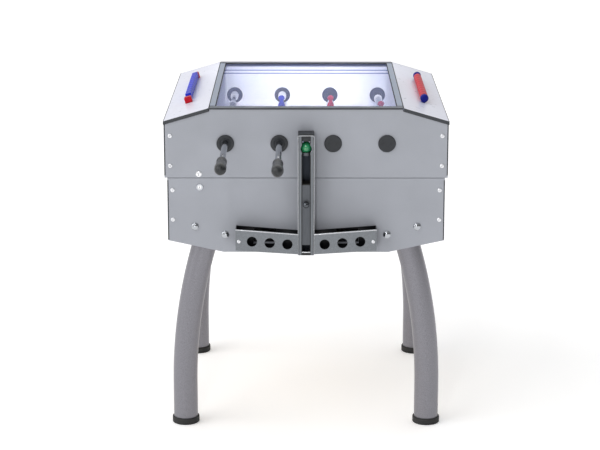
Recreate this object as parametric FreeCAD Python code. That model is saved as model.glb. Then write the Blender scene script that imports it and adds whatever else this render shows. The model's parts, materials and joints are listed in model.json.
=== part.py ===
import FreeCAD, Part
import math
import os

# Compact two-player foosball table: four telescopic rods, a glass-covered pitch, sloping end
# decks with score counters, ball trays and a ball lift on the front, and four curved tube legs.
# Millimetres. +X along the pitch from goal to goal, +Y from the front to the rear, +Z up.
# The origin is on the floor under the middle of the table.

# Cabinet, driving dimensions
table_height = 900.0
table_width = 760.0
upper_length = 760.0
lower_length = 745.4
side_panel = 18.0
end_panel = 20.0
seam_height = 709.0
seam_gap = 1.5
deck_drop = 36.0
deck_flat_length = 515.4
deck_thickness = 9.4
belly_height = 504.0
belly_flat_length = 446.0
belly_shoulder = 536.5
bottom_board_thickness = 9.0
edge_band = 2.0
past = 1.0            # how far a cut runs past the face it opens

# Pitch
pitch_height = 726.0
pitch_length = 600.0
liner = 14.0
goal_wall = 12.0
goal_width = 200.0
goal_height = 76.0
goal_box_sheet = 4.0
drop_slot_width = 36.0
drop_slot_ledge = 2.0
glass_thickness = 5.0
glass_overlap = 12.0
trim_sheet = 3.0
trim_setback = 6.0
trim_band = 4.0
rail_cover = 14.0
rail_web = 2.0
rail_shelf = 3.0
deck_gap = 1.0
glass_end_gap = 2.0
glass_side_gap = 1.0

# Rods, figures, handles and bearings
rod_pitch = 144.0
rod_height = 803.5
tube_radius = 8.0
spindle_radius = 5.5
running_clearance = 0.06
fixed_clearance = 0.04
flange_radius = 23.5
flange_thickness = 4.0
inner_flange_thickness = 3.0
flange_chamfer = 1.5
blind_depth = 4.0
pin_hole_radius = 1.5
pin_hole_place = 11.0
pin_hole_depth = 2.0
bearing_radius = 12.0
stop_radius = 11.7
stop_length = 33.0
stop_chamfer = 1.0
stop_gap = 0.5
bumper_radius = 12.0
bumper_length = 22.0
end_bumper_length = 10.0
bumper_chamfer = 1.5
push_travel = 97.5
pull_travel = 109.5
figure_spacing = 190.0
spindle_inner_end = 100.0
handle_tip = 698.0
handle_length = 115.0
handle_end_radius = 15.5
arc_steps = 6
tube_plug_depth = 28.0
foot_reach = 70.0
head_reach = 35.0
figure_depth = 22.0
figure_width = 22.0
head_radius = 9.5
neck_radius = 4.5
neck_height = 6.0

# Grip outline as (radius, distance behind its front face), up to its rounded end.
grip_outline = ((11.0, 0.0), (13.5, 6.0), (14.0, 18.0), (13.0, 32.0), (12.2, 42.0), (13.0, 52.0),
                (15.0, 66.0), (15.5, 85.0))

# Cross-sections of a figure from the rod's axis: width and depth as shares of the figure's own,
# height, corner radius.
torso_sections = ((1.0, 0.8, -22.0, 3.0), (1.1, 1.0, -8.0, 3.0), (1.2, 1.0, 8.0, 3.0),
                  (1.0, 0.6, 18.0, 3.0))
leg_sections = ((0.9, 0.7, 8.0 - foot_reach, 2.0), (1.0, 0.8, -21.5, 2.0))
foot_sections = ((1.0, 1.0, -foot_reach, 2.0), (1.0, 0.7, 12.0 - foot_reach, 2.0))

# Each rod: place in rod pitches, side of its handle (-1 front, 1 rear), number of figures,
# how far it stands from its middle position at rest, and its tilt at rest.
rod_places = (-1.5, -0.5, 0.5, 1.5)
handle_sides = (-1, -1, 1, 1)
figure_counts = (1, 3, 3, 1)
rest_offsets = (-20.0, -42.0, -42.0, 56.0)
rest_tilts = (-25.0, 0.0, 0.0, 0.0)

# Ball lift and ball trays on the front
ball_radius = 16.5
throw_in_height = 798.0
throw_in_radius = 19.0
throw_in_lip = 1.0
channel_width = 43.4
channel_depth = 48.0
channel_sheet = 2.5
channel_slot = 23.0
channel_bottom = 507.0
channel_top = 833.0
foot_lip = 6.0
window_radius = 15.0
cap_rise = 5.5
cap_corner = 4.0
cap_plug = 5.5
cap_plug_gap = 0.3
slider_bottom = 535.0
slider_top = 702.0
slider_sheet = 2.0
slider_clearance = 0.3
slider_stop = 3.0
shelf_thickness = 3.0
knob_height = 648.0
knob_radius = 8.5
knob_neck_radius = 4.675
knob_neck_length = 4.0
knob_reach = 18.7
knob_nut_gap = 2.0
seat_bore = 12.0
seat_height = 8.0
seat_gap = 0.2
seat_mouth_gap = 0.3
tray_outer = 189.0
tray_depth = 51.0
tray_sheet = 2.0
tray_top_outer = 578.0
tray_top_inner = 565.0
tray_bottom_outer = 521.0
tray_bottom_inner = 510.5
tray_hole_radius = 13.75
tray_hole_places = ((50.0, 538.0), (97.5, 541.7), (145.0, 545.6))
tray_screw_place = (180.0, 546.0)
tray_tab_width = 16.0
tray_tab_height = 18.0
outlet_inner = 82.0
outlet_outer = 142.0
outlet_bottom = 528.0
outlet_height = 42.0
ramp_thickness = 6.0
ramp_rail = 18.0
ramp_slope_x = 0.08
ramp_slope_y = 0.10
ramp_back = 120.0
ramp_bracket_gap = 4.0
ramp_leg_gap = 5.0

# Legs
leg_radius = 33.5
leg_wall = 3.0
leg_foot_x = 335.0
leg_straight = 115.0
leg_bend_radius = 1400.0
leg_top = 598.0
bracket_sheet = 4.0
bracket_length = 118.0
bracket_height = 62.0
leg_bolt_places = ((219.0, 552.0), (300.0, 574.5))
leg_bolt_radius = 4.0
leg_bolt_head = 11.0
leg_bolt_dome = 6.0
leg_nut_radius = 6.8
leg_nut_height = 5.0
foot_cap_wall = 4.0
foot_cap_height = 18.0
foot_cap_floor = 6.0
foot_cap_chamfer = 2.0

# Score counters
scorer_place = 322.0
scorer_lift = 12.0
scorer_rod_radius = 3.0
bead_count = 10
bead_radius = 11.0
bead_clearance = 0.4
bead_gap = 0.3
blue_bead_half = 8.2
blue_bead_chamfer = 2.4
red_bead_step = 2.0
red_bead_shoulder = 2.7
blue_bead_length = 35.0
red_bead_length = 33.0
scorer_block_length = 20.0
scorer_block_half = 10.0
scorer_block_rise = 5.0
scorer_knob_length = 22.0
scorer_knob_radius = 11.5
scorer_knob_round = 5.0
scorer_foot_half = 6.0
scorer_foot_inset = 5.0
scorer_rod_inset = 4.0
left_scorer_front = -206.0
right_scorer_front = -204.0
blue_bead_gap = 20.0
red_bead_gap = 12.0

# Screws and lock
upper_screw_inset = 16.0
lower_screw_inset = 13.7
upper_screw_heights = (824.0, 742.5)
lower_screw_heights = (675.5, 594.0)
screw_head_radius = 5.5
screw_head_height = 2.5
screw_radius = 2.5
screw_length = 40.0
screw_head_taper = 0.75
tray_screw_head = 4.5
tray_screw_length = 8.0
board_screw_place = (-288.0, 720.0)
board_screw_head = 8.0
lock_place = (-286.0, 683.6)
lock_flange_radius = 10.0
lock_barrel_radius = 8.0
lock_plug_radius = 5.0
lock_barrel_length = 26.0
lock_cam_length = 24.0
lock_cam_width = 12.0
lock_cam_thickness = 3.0
lock_flange_height = 2.0
lock_plug_rise = 1.5
lock_plug_tail = 5.0
keyway_width = 1.6
keyway_height = 7.0
keyway_depth = 8.0

# Worked out from the driving dimensions
side_face = table_width / 2
side_inner = side_face - side_panel
liner_face = side_inner - liner
upper_end = upper_length / 2
upper_end_inner = upper_end - end_panel
lower_end = lower_length / 2
lower_end_inner = lower_end - end_panel
deck_edge = deck_flat_length / 2
goal_face = pitch_length / 2
goal_back = goal_face + goal_wall
drop_slot_end = goal_back + drop_slot_ledge + drop_slot_width
upper_bottom = seam_height + seam_gap / 2
lower_top = seam_height - seam_gap / 2
deck_fall = deck_drop / (upper_end - deck_edge)
glass_top = table_height - trim_sheet
glass_bottom = glass_top - glass_thickness
inner_flange_face = liner_face - inner_flange_thickness
stop_face = inner_flange_face - stop_length
push_end = stop_face - push_travel - stop_gap
pull_end = inner_flange_face - pull_travel - stop_gap
channel_front = side_face + channel_depth
ball_door_height = 2.5 * ball_radius
ball_y = -(side_face + channel_depth / 2)
leg_y = side_inner - bracket_sheet - leg_radius
cap_radius = leg_radius + foot_cap_wall
upper_screw_x = upper_end - upper_screw_inset
lower_screw_x = lower_end - lower_screw_inset

V = FreeCAD.Vector
nodes = {}


def deck_z(x):
    """Height of the sloping deck's top face at a distance x from the middle."""
    return table_height - (x - deck_edge) * deck_fall


def box(x0, x1, y0, y1, z0, z1):
    return Part.makeBox(x1 - x0, y1 - y0, z1 - z0, V(x0, y0, z0))


def rod_y(radius, y0, y1, x, z):
    """Round bar along Y between two Y places."""
    return Part.makeCylinder(radius, y1 - y0, V(x, y0, z), V(0, 1, 0))


def prism_y(points, y0, y1):
    """Outline of (x, z) points carried along Y."""
    corners = [V(x, y0, z) for x, z in points]
    return Part.Face(Part.makePolygon(corners + corners[:1])).extrude(V(0, y1 - y0, 0))


def turned_y(profile, x, z):
    """Solid of revolution about an axis along Y, from (radius, y) points."""
    corners = [V(x + radius, y, z) for radius, y in profile]
    face = Part.Face(Part.makePolygon(corners + corners[:1]))
    return face.revolve(V(x, 0, z), V(0, 1, 0), 360)


def mirrored(points):
    """Closed outline from the points of its +X half, listed from bottom to top."""
    return list(points) + [(-x, z) for x, z in reversed(points)]


def flip_x(shape):
    return shape.mirror(V(0, 0, 0), V(1, 0, 0))


def flip_y(shape):
    return shape.mirror(V(0, 0, 0), V(0, 1, 0))


def both_ends(shape):
    return [shape, flip_x(shape)]


def both_sides(shape):
    return [shape, flip_y(shape)]


def four_corners(shape):
    return both_ends(shape) + both_ends(flip_y(shape))


def add(name, shape):
    """Keep a node: one solid, or a list of separate solids."""
    solids = shape if isinstance(shape, list) else [shape]
    nodes[name] = solids[0] if len(solids) == 1 else Part.makeCompound(solids)


def rod_x(index):
    return rod_places[index] * rod_pitch


# --- Cabinet -------------------------------------------------------------------------------

def screw_shanks(extra):
    """Shanks of the panel screws of one corner of the front, a little larger by extra."""
    places = [(upper_screw_x, z) for z in upper_screw_heights]
    places += [(lower_screw_x, z) for z in lower_screw_heights]
    radius = screw_radius + extra
    tip = -side_face + screw_length - screw_head_height + extra
    return [rod_y(radius, -side_face, tip, x, z) for x, z in places]


def cut_all(shape, tools):
    for tool in tools:
        shape = shape.cut(tool)
    return shape


def upper_side_panel():
    """Front upper panel, with the holes for rods and screws."""
    half = [(upper_end, upper_bottom), (upper_end, deck_z(upper_end) - deck_thickness),
            (deck_edge, table_height - deck_thickness), (deck_edge, glass_top)]
    panel = prism_y(mirrored(half), -side_face, -side_inner)
    holes = [rod_y(bearing_radius + fixed_clearance, -side_face, -side_inner, rod_x(i), rod_height)
             for i in range(len(rod_places))]
    for shank in screw_shanks(fixed_clearance)[:2]:
        holes += both_ends(shank)
    return cut_all(panel, holes)


def lower_side_panel():
    half = [(belly_flat_length / 2, belly_height), (lower_end, belly_shoulder), (lower_end, lower_top)]
    panel = prism_y(mirrored(half), -side_face, -side_inner)
    holes = []
    for x, z in leg_bolt_places:
        holes += both_ends(rod_y(leg_bolt_radius + fixed_clearance, -side_face, -side_inner, x, z))
    for shank in screw_shanks(fixed_clearance)[2:]:
        holes += both_ends(shank)
    return cut_all(panel, holes)


def throw_in_hole(y0, y1):
    return rod_y(throw_in_radius, y0, y1, 0, throw_in_height)


def tray_outlets():
    """Ball outlets through the front lower panel, one to each tray."""
    hole = box(outlet_inner, outlet_outer, -side_face - tray_sheet - past, -side_inner + past,
               outlet_bottom, outlet_bottom + outlet_height)
    return both_ends(hole)


def board_screw(extra=0.0):
    """Round-head screw through the front panel into the pitch board's edge."""
    x, z = board_screw_place
    tip = -side_face + screw_length
    return rod_y(screw_radius + extra, -side_face, tip, x, z)


def belly_rise():
    """Slope of the underside between its flat middle and its shoulder."""
    return (belly_shoulder - belly_height) / (lower_end - belly_flat_length / 2)


def make_panels():
    upper = upper_side_panel()
    front = upper.cut(throw_in_hole(-side_face, -side_inner)).cut(board_screw(fixed_clearance))
    add("front_upper_panel", front)
    add("rear_upper_panel", flip_y(upper))
    lower = lower_side_panel()
    x, z = lock_place
    lock_hole = rod_y(lock_barrel_radius + fixed_clearance, -side_face, -side_inner, x, z)
    add("front_lower_panel", cut_all(lower, tray_outlets() + [lock_hole]))
    add("rear_lower_panel", flip_y(lower))

    top = [(upper_end_inner, upper_bottom), (upper_end, upper_bottom),
           (upper_end, deck_z(upper_end) - deck_thickness),
           (upper_end_inner, deck_z(upper_end_inner) - deck_thickness)]
    shanks = screw_shanks(fixed_clearance)
    shanks += [flip_y(shank) for shank in shanks]
    upper_end_panel = cut_all(prism_y(top, -side_inner, side_inner), shanks)
    add("right_upper_end_panel", upper_end_panel)
    add("left_upper_end_panel", flip_x(upper_end_panel))
    foot = belly_shoulder - (lower_end - lower_end_inner) * belly_rise()
    low = [(lower_end_inner, foot), (lower_end, belly_shoulder), (lower_end, lower_top),
           (lower_end_inner, lower_top)]
    lower_end_panel = cut_all(prism_y(low, -side_inner, side_inner), shanks)
    add("right_lower_end_panel", lower_end_panel)
    add("left_lower_end_panel", flip_x(lower_end_panel))


def make_boards():
    half = belly_flat_length / 2
    add("bottom_board", box(-half, half, -side_inner, side_inner,
                            belly_height, belly_height + bottom_board_thickness))
    board = box(-upper_end_inner, upper_end_inner, -side_inner, side_inner, lower_top, pitch_height)
    slot = box(goal_back + drop_slot_ledge, drop_slot_end, -goal_width / 2, goal_width / 2,
               lower_top - past, pitch_height + past)
    add("pitch_board", cut_all(board, both_ends(slot) + [board_screw(fixed_clearance)]))


def make_pitch_walls():
    rail_face = deck_edge + rail_web
    shelf_bottom = glass_bottom - rail_shelf
    half = [(goal_back, pitch_height), (goal_back, deck_z(goal_back) - deck_thickness),
            (rail_face, deck_z(rail_face) - deck_thickness), (rail_face, shelf_bottom),
            (deck_edge, shelf_bottom), (deck_edge, glass_bottom)]
    wall = prism_y(mirrored(half), -side_inner, -liner_face)
    holes = [rod_y(bearing_radius + fixed_clearance, -side_inner, -liner_face, rod_x(i), rod_height)
             for i in range(len(rod_places))]
    wall = cut_all(wall, holes)
    front = wall.cut(throw_in_hole(-side_inner, -liner_face))
    add("pitch_side_walls", [front, flip_y(wall)])

    outline = [(goal_face, pitch_height), (goal_back, pitch_height),
               (goal_back, deck_z(goal_back) - deck_thickness),
               (goal_face, deck_z(goal_face) - deck_thickness)]
    goal = prism_y(outline, -liner_face, liner_face)
    mouth = box(goal_face - past, goal_back + past, -goal_width / 2, goal_width / 2,
                pitch_height, pitch_height + goal_height)
    add("goal_walls", both_ends(goal.cut(mouth)))

    half_box = goal_width / 2 + goal_box_sheet
    shell = box(goal_back, drop_slot_end + goal_box_sheet, -half_box, half_box,
                pitch_height, pitch_height + goal_height + goal_box_sheet)
    inside = box(goal_back - past, drop_slot_end, -goal_width / 2, goal_width / 2,
                 pitch_height - past, pitch_height + goal_height)
    add("goal_boxes", both_ends(shell.cut(inside)))


def make_deck():
    inner = deck_edge + rail_web + deck_gap
    outline = [(inner, deck_z(inner)), (upper_end, deck_z(upper_end)),
               (upper_end, deck_z(upper_end) - deck_thickness), (inner, deck_z(inner) - deck_thickness)]
    add("end_decks", both_ends(prism_y(outline, -side_face, side_face)))

    long_strip = prism_y(outline, -side_face - edge_band, -side_face)
    end_outline = [(upper_end, deck_z(upper_end)), (upper_end + edge_band, deck_z(upper_end + edge_band)),
                   (upper_end + edge_band, deck_z(upper_end + edge_band) - deck_thickness),
                   (upper_end, deck_z(upper_end) - deck_thickness)]
    end_strip = prism_y(end_outline, -side_face - edge_band, side_face + edge_band)
    top_strip = box(-deck_edge, deck_edge, -side_face - edge_band, -side_face,
                    table_height - trim_band, table_height)
    strips = four_corners(long_strip) + both_ends(end_strip) + both_sides(top_strip)
    add("top_edge_bands", strips)


def make_glass():
    half_x = deck_edge - glass_end_gap
    half_y = side_inner - glass_side_gap
    add("glass_pane", box(-half_x, half_x, -half_y, half_y, glass_bottom, glass_top))
    trim = box(-deck_edge, deck_edge, -side_face, -liner_face - trim_setback, glass_top, table_height)

    inner = deck_edge - rail_cover
    shelf = deck_edge - glass_overlap
    rail = [(inner, glass_top), (deck_edge, glass_top), (deck_edge, glass_bottom),
            (shelf, glass_bottom), (shelf, glass_bottom - rail_shelf),
            (deck_edge + rail_web, glass_bottom - rail_shelf),
            (deck_edge + rail_web, table_height), (inner, table_height)]
    add("glass_frame", both_sides(trim) + both_ends(prism_y(rail, -liner_face, liner_face)))


# --- Ball return ---------------------------------------------------------------------------

def ramp_z(x, y):
    """Height of a return ramp's underside: it falls towards the front and the outlet."""
    base = outlet_bottom - ramp_thickness
    return base + (x - outlet_inner) * ramp_slope_x + (y + side_inner) * ramp_slope_y


def ramp_prism(corners, lift, height):
    """Sloping slab over an (x, y) outline, lift above the ramp's underside."""
    points = [V(x, y, ramp_z(x, y) + lift) for x, y in corners]
    return Part.Face(Part.makePolygon(points + points[:1])).extrude(V(0, 0, height))


def make_ramps():
    inner = outlet_inner - ramp_thickness
    outer = lower_end_inner
    corner_x = (leg_bolt_places[0][0] + leg_bolt_places[1][0] - bracket_length) / 2
    corner_x -= ramp_bracket_gap
    corner_y = -leg_y + leg_radius + ramp_leg_gap
    floor = ramp_prism([(inner, -side_inner), (corner_x, -side_inner), (corner_x, corner_y),
                        (outer, corner_y), (outer, ramp_back), (inner, ramp_back)], 0, ramp_thickness)
    wall = ramp_thickness
    rails = [((inner, -side_inner), (inner + wall, ramp_back)),
             ((corner_x - wall, -side_inner), (corner_x, corner_y)),
             ((corner_x - wall, corner_y), (outer, corner_y + wall)),
             ((inner, ramp_back - wall), (outer, ramp_back))]
    for (x0, y0), (x1, y1) in rails:
        rail = ramp_prism([(x0, y0), (x1, y0), (x1, y1), (x0, y1)], ramp_thickness / 2,
                          ramp_rail + ramp_thickness / 2)
        floor = floor.fuse(rail)
    add("return_ramps", both_ends(floor.removeSplitter()))


def tray_top(x):
    return line_height(x, tray_top_inner, tray_top_outer)


def tray_bottom(x):
    return line_height(x, tray_bottom_inner, tray_bottom_outer)


def line_height(x, inner, outer):
    """Height at x on a straight edge from the channel to the tray's outer end."""
    start = channel_width / 2
    return inner + (x - start) / (tray_outer - start) * (outer - inner)


def tray():
    """Right ball tray: sloping folded trough, open at the top and towards the lift."""
    start = channel_width / 2
    back = -side_face
    front = -side_face - tray_depth
    outline = [(start, tray_bottom(start)), (tray_outer, tray_bottom(tray_outer)),
               (tray_outer, tray_top(tray_outer)), (start, tray_top(start))]
    shell = prism_y(outline, front, back)
    inside = [(start - past, tray_bottom(start - past) + tray_sheet),
              (tray_outer - tray_sheet, tray_bottom(tray_outer - tray_sheet) + tray_sheet),
              (tray_outer - tray_sheet, tray_top(tray_outer) + past),
              (start - past, tray_top(tray_outer) + past)]
    shell = shell.cut(prism_y(inside, front + tray_sheet, back - tray_sheet))
    for x, z in tray_hole_places:
        shell = shell.cut(rod_y(tray_hole_radius, front - past, front + tray_sheet + past, x, z))
    shell = shell.cut(tray_outlets()[0])
    x, z = tray_screw_place
    half = tray_tab_height / 2
    tab = box(x - tray_tab_width / 2, tray_outer - tray_sheet / 2, front + tray_sheet,
              front + 2 * tray_sheet, z - half, z + half)
    shell = shell.fuse(tab)
    hole = rod_y(screw_radius + fixed_clearance, front - past, front + 3 * tray_sheet, x, z)
    return shell.cut(hole).removeSplitter()


def make_trays():
    right = tray()
    add("right_ball_tray", right)
    add("left_ball_tray", flip_x(right))


# --- Ball lift -----------------------------------------------------------------------------

def is_along_y(edge):
    return abs(edge.Vertexes[0].Y - edge.Vertexes[-1].Y) > 1


def make_lift():
    half = channel_width / 2
    back = -side_face
    front = -channel_front
    outer = box(-half, half, front, back, channel_bottom, channel_top)
    inner_half = half - channel_sheet
    hollow = box(-inner_half, inner_half, front + channel_sheet, back - channel_sheet,
                 channel_bottom + channel_sheet, channel_top + past)
    slot = box(-channel_slot / 2, channel_slot / 2, front - past, front + channel_sheet + past,
               channel_bottom + foot_lip, channel_top + past)
    floor = tray_bottom(half) + tray_sheet
    ball_door = box(-half - past, half + past, front + 2 * channel_sheet, back - 2 * channel_sheet,
                    floor, floor + ball_door_height)
    window = rod_y(window_radius, front - past, front + channel_sheet + past, 0, throw_in_height)
    hole = rod_y(throw_in_radius - throw_in_lip, back - channel_sheet - past, back + past, 0,
                 throw_in_height)
    channel = cut_all(outer, [hollow, slot, ball_door, window, hole])
    stop = box(inner_half - slider_stop, inner_half, front + channel_sheet,
               front + channel_sheet + slider_stop, slider_bottom - slider_stop, slider_bottom)
    add("lift_channel", channel.fuse(both_ends(stop)).removeSplitter())

    cap = box(-half, half, front, back, channel_top, channel_top + cap_rise)
    shoulders = [e for e in cap.Edges if is_along_y(e) and e.Vertexes[0].Z > channel_top + past]
    cap = cap.makeFillet(cap_corner, shoulders)
    plug_half = inner_half - cap_plug_gap
    plug = box(-plug_half, plug_half, front + channel_sheet + cap_plug_gap,
               back - channel_sheet - cap_plug_gap, channel_top - cap_plug, channel_top)
    add("lift_cap", cap.fuse(plug).removeSplitter())

    plate_half = inner_half - slider_clearance
    plate_y = front + channel_sheet + slider_clearance
    plate = box(-plate_half, plate_half, plate_y, plate_y + slider_sheet, slider_bottom, slider_top)
    shelf = box(-plate_half, plate_half, plate_y, back - channel_sheet - slider_clearance * 2,
                slider_top - shelf_thickness, slider_top)
    slider = plate.fuse(shelf)
    stem_hole = rod_y(screw_radius, plate_y - past, plate_y + slider_sheet + past, 0, knob_height)
    add("lift_slider", slider.cut(stem_hole).removeSplitter())

    stem_end = plate_y + slider_sheet + knob_nut_gap
    neck_end = plate_y - knob_neck_length
    knob = turned_y([(0, stem_end), (screw_radius, stem_end), (screw_radius, plate_y),
                     (knob_neck_radius, plate_y), (knob_neck_radius, neck_end), (0, neck_end)],
                    0, knob_height)
    ball = Part.makeSphere(knob_radius, V(0, plate_y - knob_reach + knob_radius, knob_height))
    add("lift_knob", knob.fuse(ball).removeSplitter())

    # The seat is a soft ring cut open towards the pitch: the ball rests on its bore's rim.
    rim = throw_in_height - math.sqrt(ball_radius ** 2 - seat_bore ** 2)
    ring_radius = inner_half - fixed_clearance
    base = rim - seat_height - seat_gap
    ring = Part.makeCylinder(ring_radius, seat_height, V(0, ball_y, base))
    bore = Part.makeCylinder(seat_bore, seat_height + 2 * past, V(0, ball_y, base - past))
    half_mouth = seat_bore + seat_mouth_gap
    mouth = box(-half_mouth, half_mouth, ball_y, ball_y + ring_radius + past, base - past, rim + past)
    add("ball_seat", ring.cut(bore).cut(mouth))
    add("ball", Part.makeSphere(ball_radius, V(0, ball_y, throw_in_height)))


# --- Legs ----------------------------------------------------------------------------------

def leg_axis_x(z):
    """Distance of a leg's axis from the middle at a height: straight foot, then an arc."""
    if z <= leg_straight:
        return leg_foot_x
    rise = z - leg_straight
    return leg_foot_x - leg_bend_radius + math.sqrt(leg_bend_radius ** 2 - rise ** 2)


def leg_tube(radius):
    """Solid bar along the leg's axis, for the right rear leg."""
    bottom = foot_cap_floor
    straight = Part.makeCylinder(radius, leg_straight - bottom, V(leg_foot_x, leg_y, bottom))
    ring = Part.Wire(Part.makeCircle(radius, V(leg_foot_x, leg_y, leg_straight), V(0, 0, 1)))
    angle = math.degrees(math.asin((leg_top - leg_straight) / leg_bend_radius))
    centre = V(leg_foot_x - leg_bend_radius, leg_y, leg_straight)
    bend = Part.Face(ring).revolve(centre, V(0, -1, 0), angle)
    return straight, bend


def make_legs():
    outer_foot, outer_bend = leg_tube(leg_radius)
    inner_foot, inner_bend = leg_tube(leg_radius - leg_wall)
    leg = outer_foot.cut(inner_foot).fuse(outer_bend.cut(inner_bend)).removeSplitter()
    add("legs", four_corners(leg))

    cap = Part.makeCylinder(cap_radius, foot_cap_height, V(leg_foot_x, leg_y, 0))
    cap = cap.makeChamfer(foot_cap_chamfer, [cap.Edges[0]])
    cap = cap.cut(Part.makeCylinder(leg_radius, foot_cap_height, V(leg_foot_x, leg_y, foot_cap_floor)))
    add("leg_foot_caps", four_corners(cap))

    (x0, z0), (x1, z1) = leg_bolt_places
    middle = V((x0 + x1) / 2, side_inner - bracket_sheet, (z0 + z1) / 2)
    plate = Part.makeBox(bracket_length, bracket_sheet, bracket_height,
                         middle - V(bracket_length / 2, 0, bracket_height / 2))
    tilt = math.degrees(math.atan2(z1 - z0, x1 - x0))
    plate = plate.rotated(middle, V(0, -1, 0), tilt)
    for x, z in leg_bolt_places:
        plate = plate.cut(rod_y(leg_bolt_radius + fixed_clearance, side_inner - bracket_sheet,
                                side_inner, x, z))
    add("leg_brackets", four_corners(plate))

    bolts = []
    for x, z in leg_bolt_places:
        bolts += four_corners(dome_bolt(x, z))
    add("leg_bolts", bolts)


def dome_bolt(x, z):
    """Dome-head bolt through the rear panel and the bracket, with its nut."""
    profile = [(0, side_face + leg_bolt_dome)]
    for i in range(1, arc_steps + 1):
        angle = math.pi / 2 * i / arc_steps
        profile.append((leg_bolt_head * math.sin(angle), side_face + leg_bolt_dome * math.cos(angle)))
    nut_face = side_inner - bracket_sheet
    nut_end = nut_face - leg_nut_height
    profile += [(leg_bolt_radius, side_face), (leg_bolt_radius, nut_face), (leg_nut_radius, nut_face),
                (leg_nut_radius, nut_end), (0, nut_end)]
    return turned_y(profile, x, z)


# --- Bearings and rods ---------------------------------------------------------------------

def toward(side, distance):
    """Y place a distance from the middle on one side of the table."""
    return side * distance


def turned_between(profile, side, x, z):
    """Solid of revolution about Y whose profile's second values count towards one side."""
    return turned_y([(radius, toward(side, place)) for radius, place in profile], x, z)


def make_bearings():
    open_ends = []
    closed_ends = []
    flanges = []
    stops = []
    outer = side_face + flange_thickness
    for i, side in enumerate(handle_sides):
        x = rod_x(i)
        bore = tube_radius + running_clearance
        profile = [(bore, inner_flange_face), (bearing_radius, inner_flange_face),
                   (bearing_radius, side_face), (flange_radius, side_face),
                   (flange_radius, outer - flange_chamfer), (flange_radius - flange_chamfer, outer),
                   (bore, outer)]
        open_ends.append(turned_between(profile, side, x, rod_height))
        seat = spindle_radius + running_clearance
        blind = side_face - blind_depth
        profile = [(seat, inner_flange_face), (bearing_radius, inner_flange_face),
                   (bearing_radius, side_face), (flange_radius, side_face),
                   (flange_radius, outer - flange_chamfer), (flange_radius - flange_chamfer, outer),
                   (0, outer), (0, blind), (seat, blind)]
        closed = turned_between(profile, -side, x, rod_height)
        for pin in (-1, 1):
            y0, y1 = sorted((toward(-side, outer - pin_hole_depth), toward(-side, outer + past)))
            closed = closed.cut(rod_y(pin_hole_radius, y0, y1, x + pin * pin_hole_place, rod_height))
        closed_ends.append(closed)
        for end in (-1, 1):
            ring = [(bearing_radius + fixed_clearance, inner_flange_face),
                    (flange_radius - stop_chamfer, inner_flange_face),
                    (flange_radius, inner_flange_face + stop_chamfer),
                    (flange_radius, liner_face), (bearing_radius + fixed_clearance, liner_face)]
            flanges.append(turned_between(ring, end, x, rod_height))
        sleeve = [(seat, stop_face), (stop_radius - stop_chamfer, stop_face),
                  (stop_radius, stop_face + stop_chamfer),
                  (stop_radius, inner_flange_face), (seat, inner_flange_face)]
        stops.append(turned_between(sleeve, -side, x, rod_height))
    add("open_bearings", open_ends)
    add("closed_bearings", closed_ends)
    add("inner_flanges", flanges)
    add("travel_stops", stops)


def section(width, depth, z, corner):
    """Rounded rectangle at a height of a figure, depth along X and width along Y."""
    outline = Part.makePlane(depth, width, V(-depth / 2, -width / 2, z))
    block = outline.extrude(V(0, 0, 1))
    upright = [e for e in block.Edges if abs(e.Vertexes[0].Z - e.Vertexes[1].Z) > 0.5]
    block = block.makeFillet(corner, upright)
    return [f for f in block.Faces if abs(f.CenterOfMass.z - z) < 0.01][0].OuterWire


def loft(sections):
    """Straight loft through a figure's cross-sections."""
    wires = [section(width * figure_width, depth * figure_depth, z, corner)
             for width, depth, z, corner in sections]
    return Part.makeLoft(wires, True, True)


def figure():
    """Player figure upright about a rod axis along Y at the origin, facing +X."""
    neck_base = torso_sections[-1][2] - neck_height / 2
    neck = Part.makeCylinder(neck_radius, neck_height, V(0, 0, neck_base))
    head = Part.makeSphere(head_radius, V(0, 0, head_reach - head_radius))
    body = loft(torso_sections).fuse([loft(leg_sections), loft(foot_sections), neck, head])
    bore = tube_radius + fixed_clearance
    return body.cut(rod_y(bore, -figure_width, figure_width, 0, 0))


def handle_profile():
    """Grip with a ring at its front, a waist and a rounded rear end, as (radius, distance)."""
    start = handle_tip - handle_length
    bore = tube_radius + fixed_clearance
    blind = handle_tip - tube_plug_depth
    points = [(bore, start)] + [(radius, start + place) for radius, place in grip_outline]
    end_centre = handle_tip - handle_end_radius
    for i in range(arc_steps):
        angle = math.pi / 2 * i / arc_steps
        points.append((handle_end_radius * math.cos(angle),
                       end_centre + handle_end_radius * math.sin(angle)))
    return points + [(0, handle_tip), (0, blind), (bore, blind)]


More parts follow.
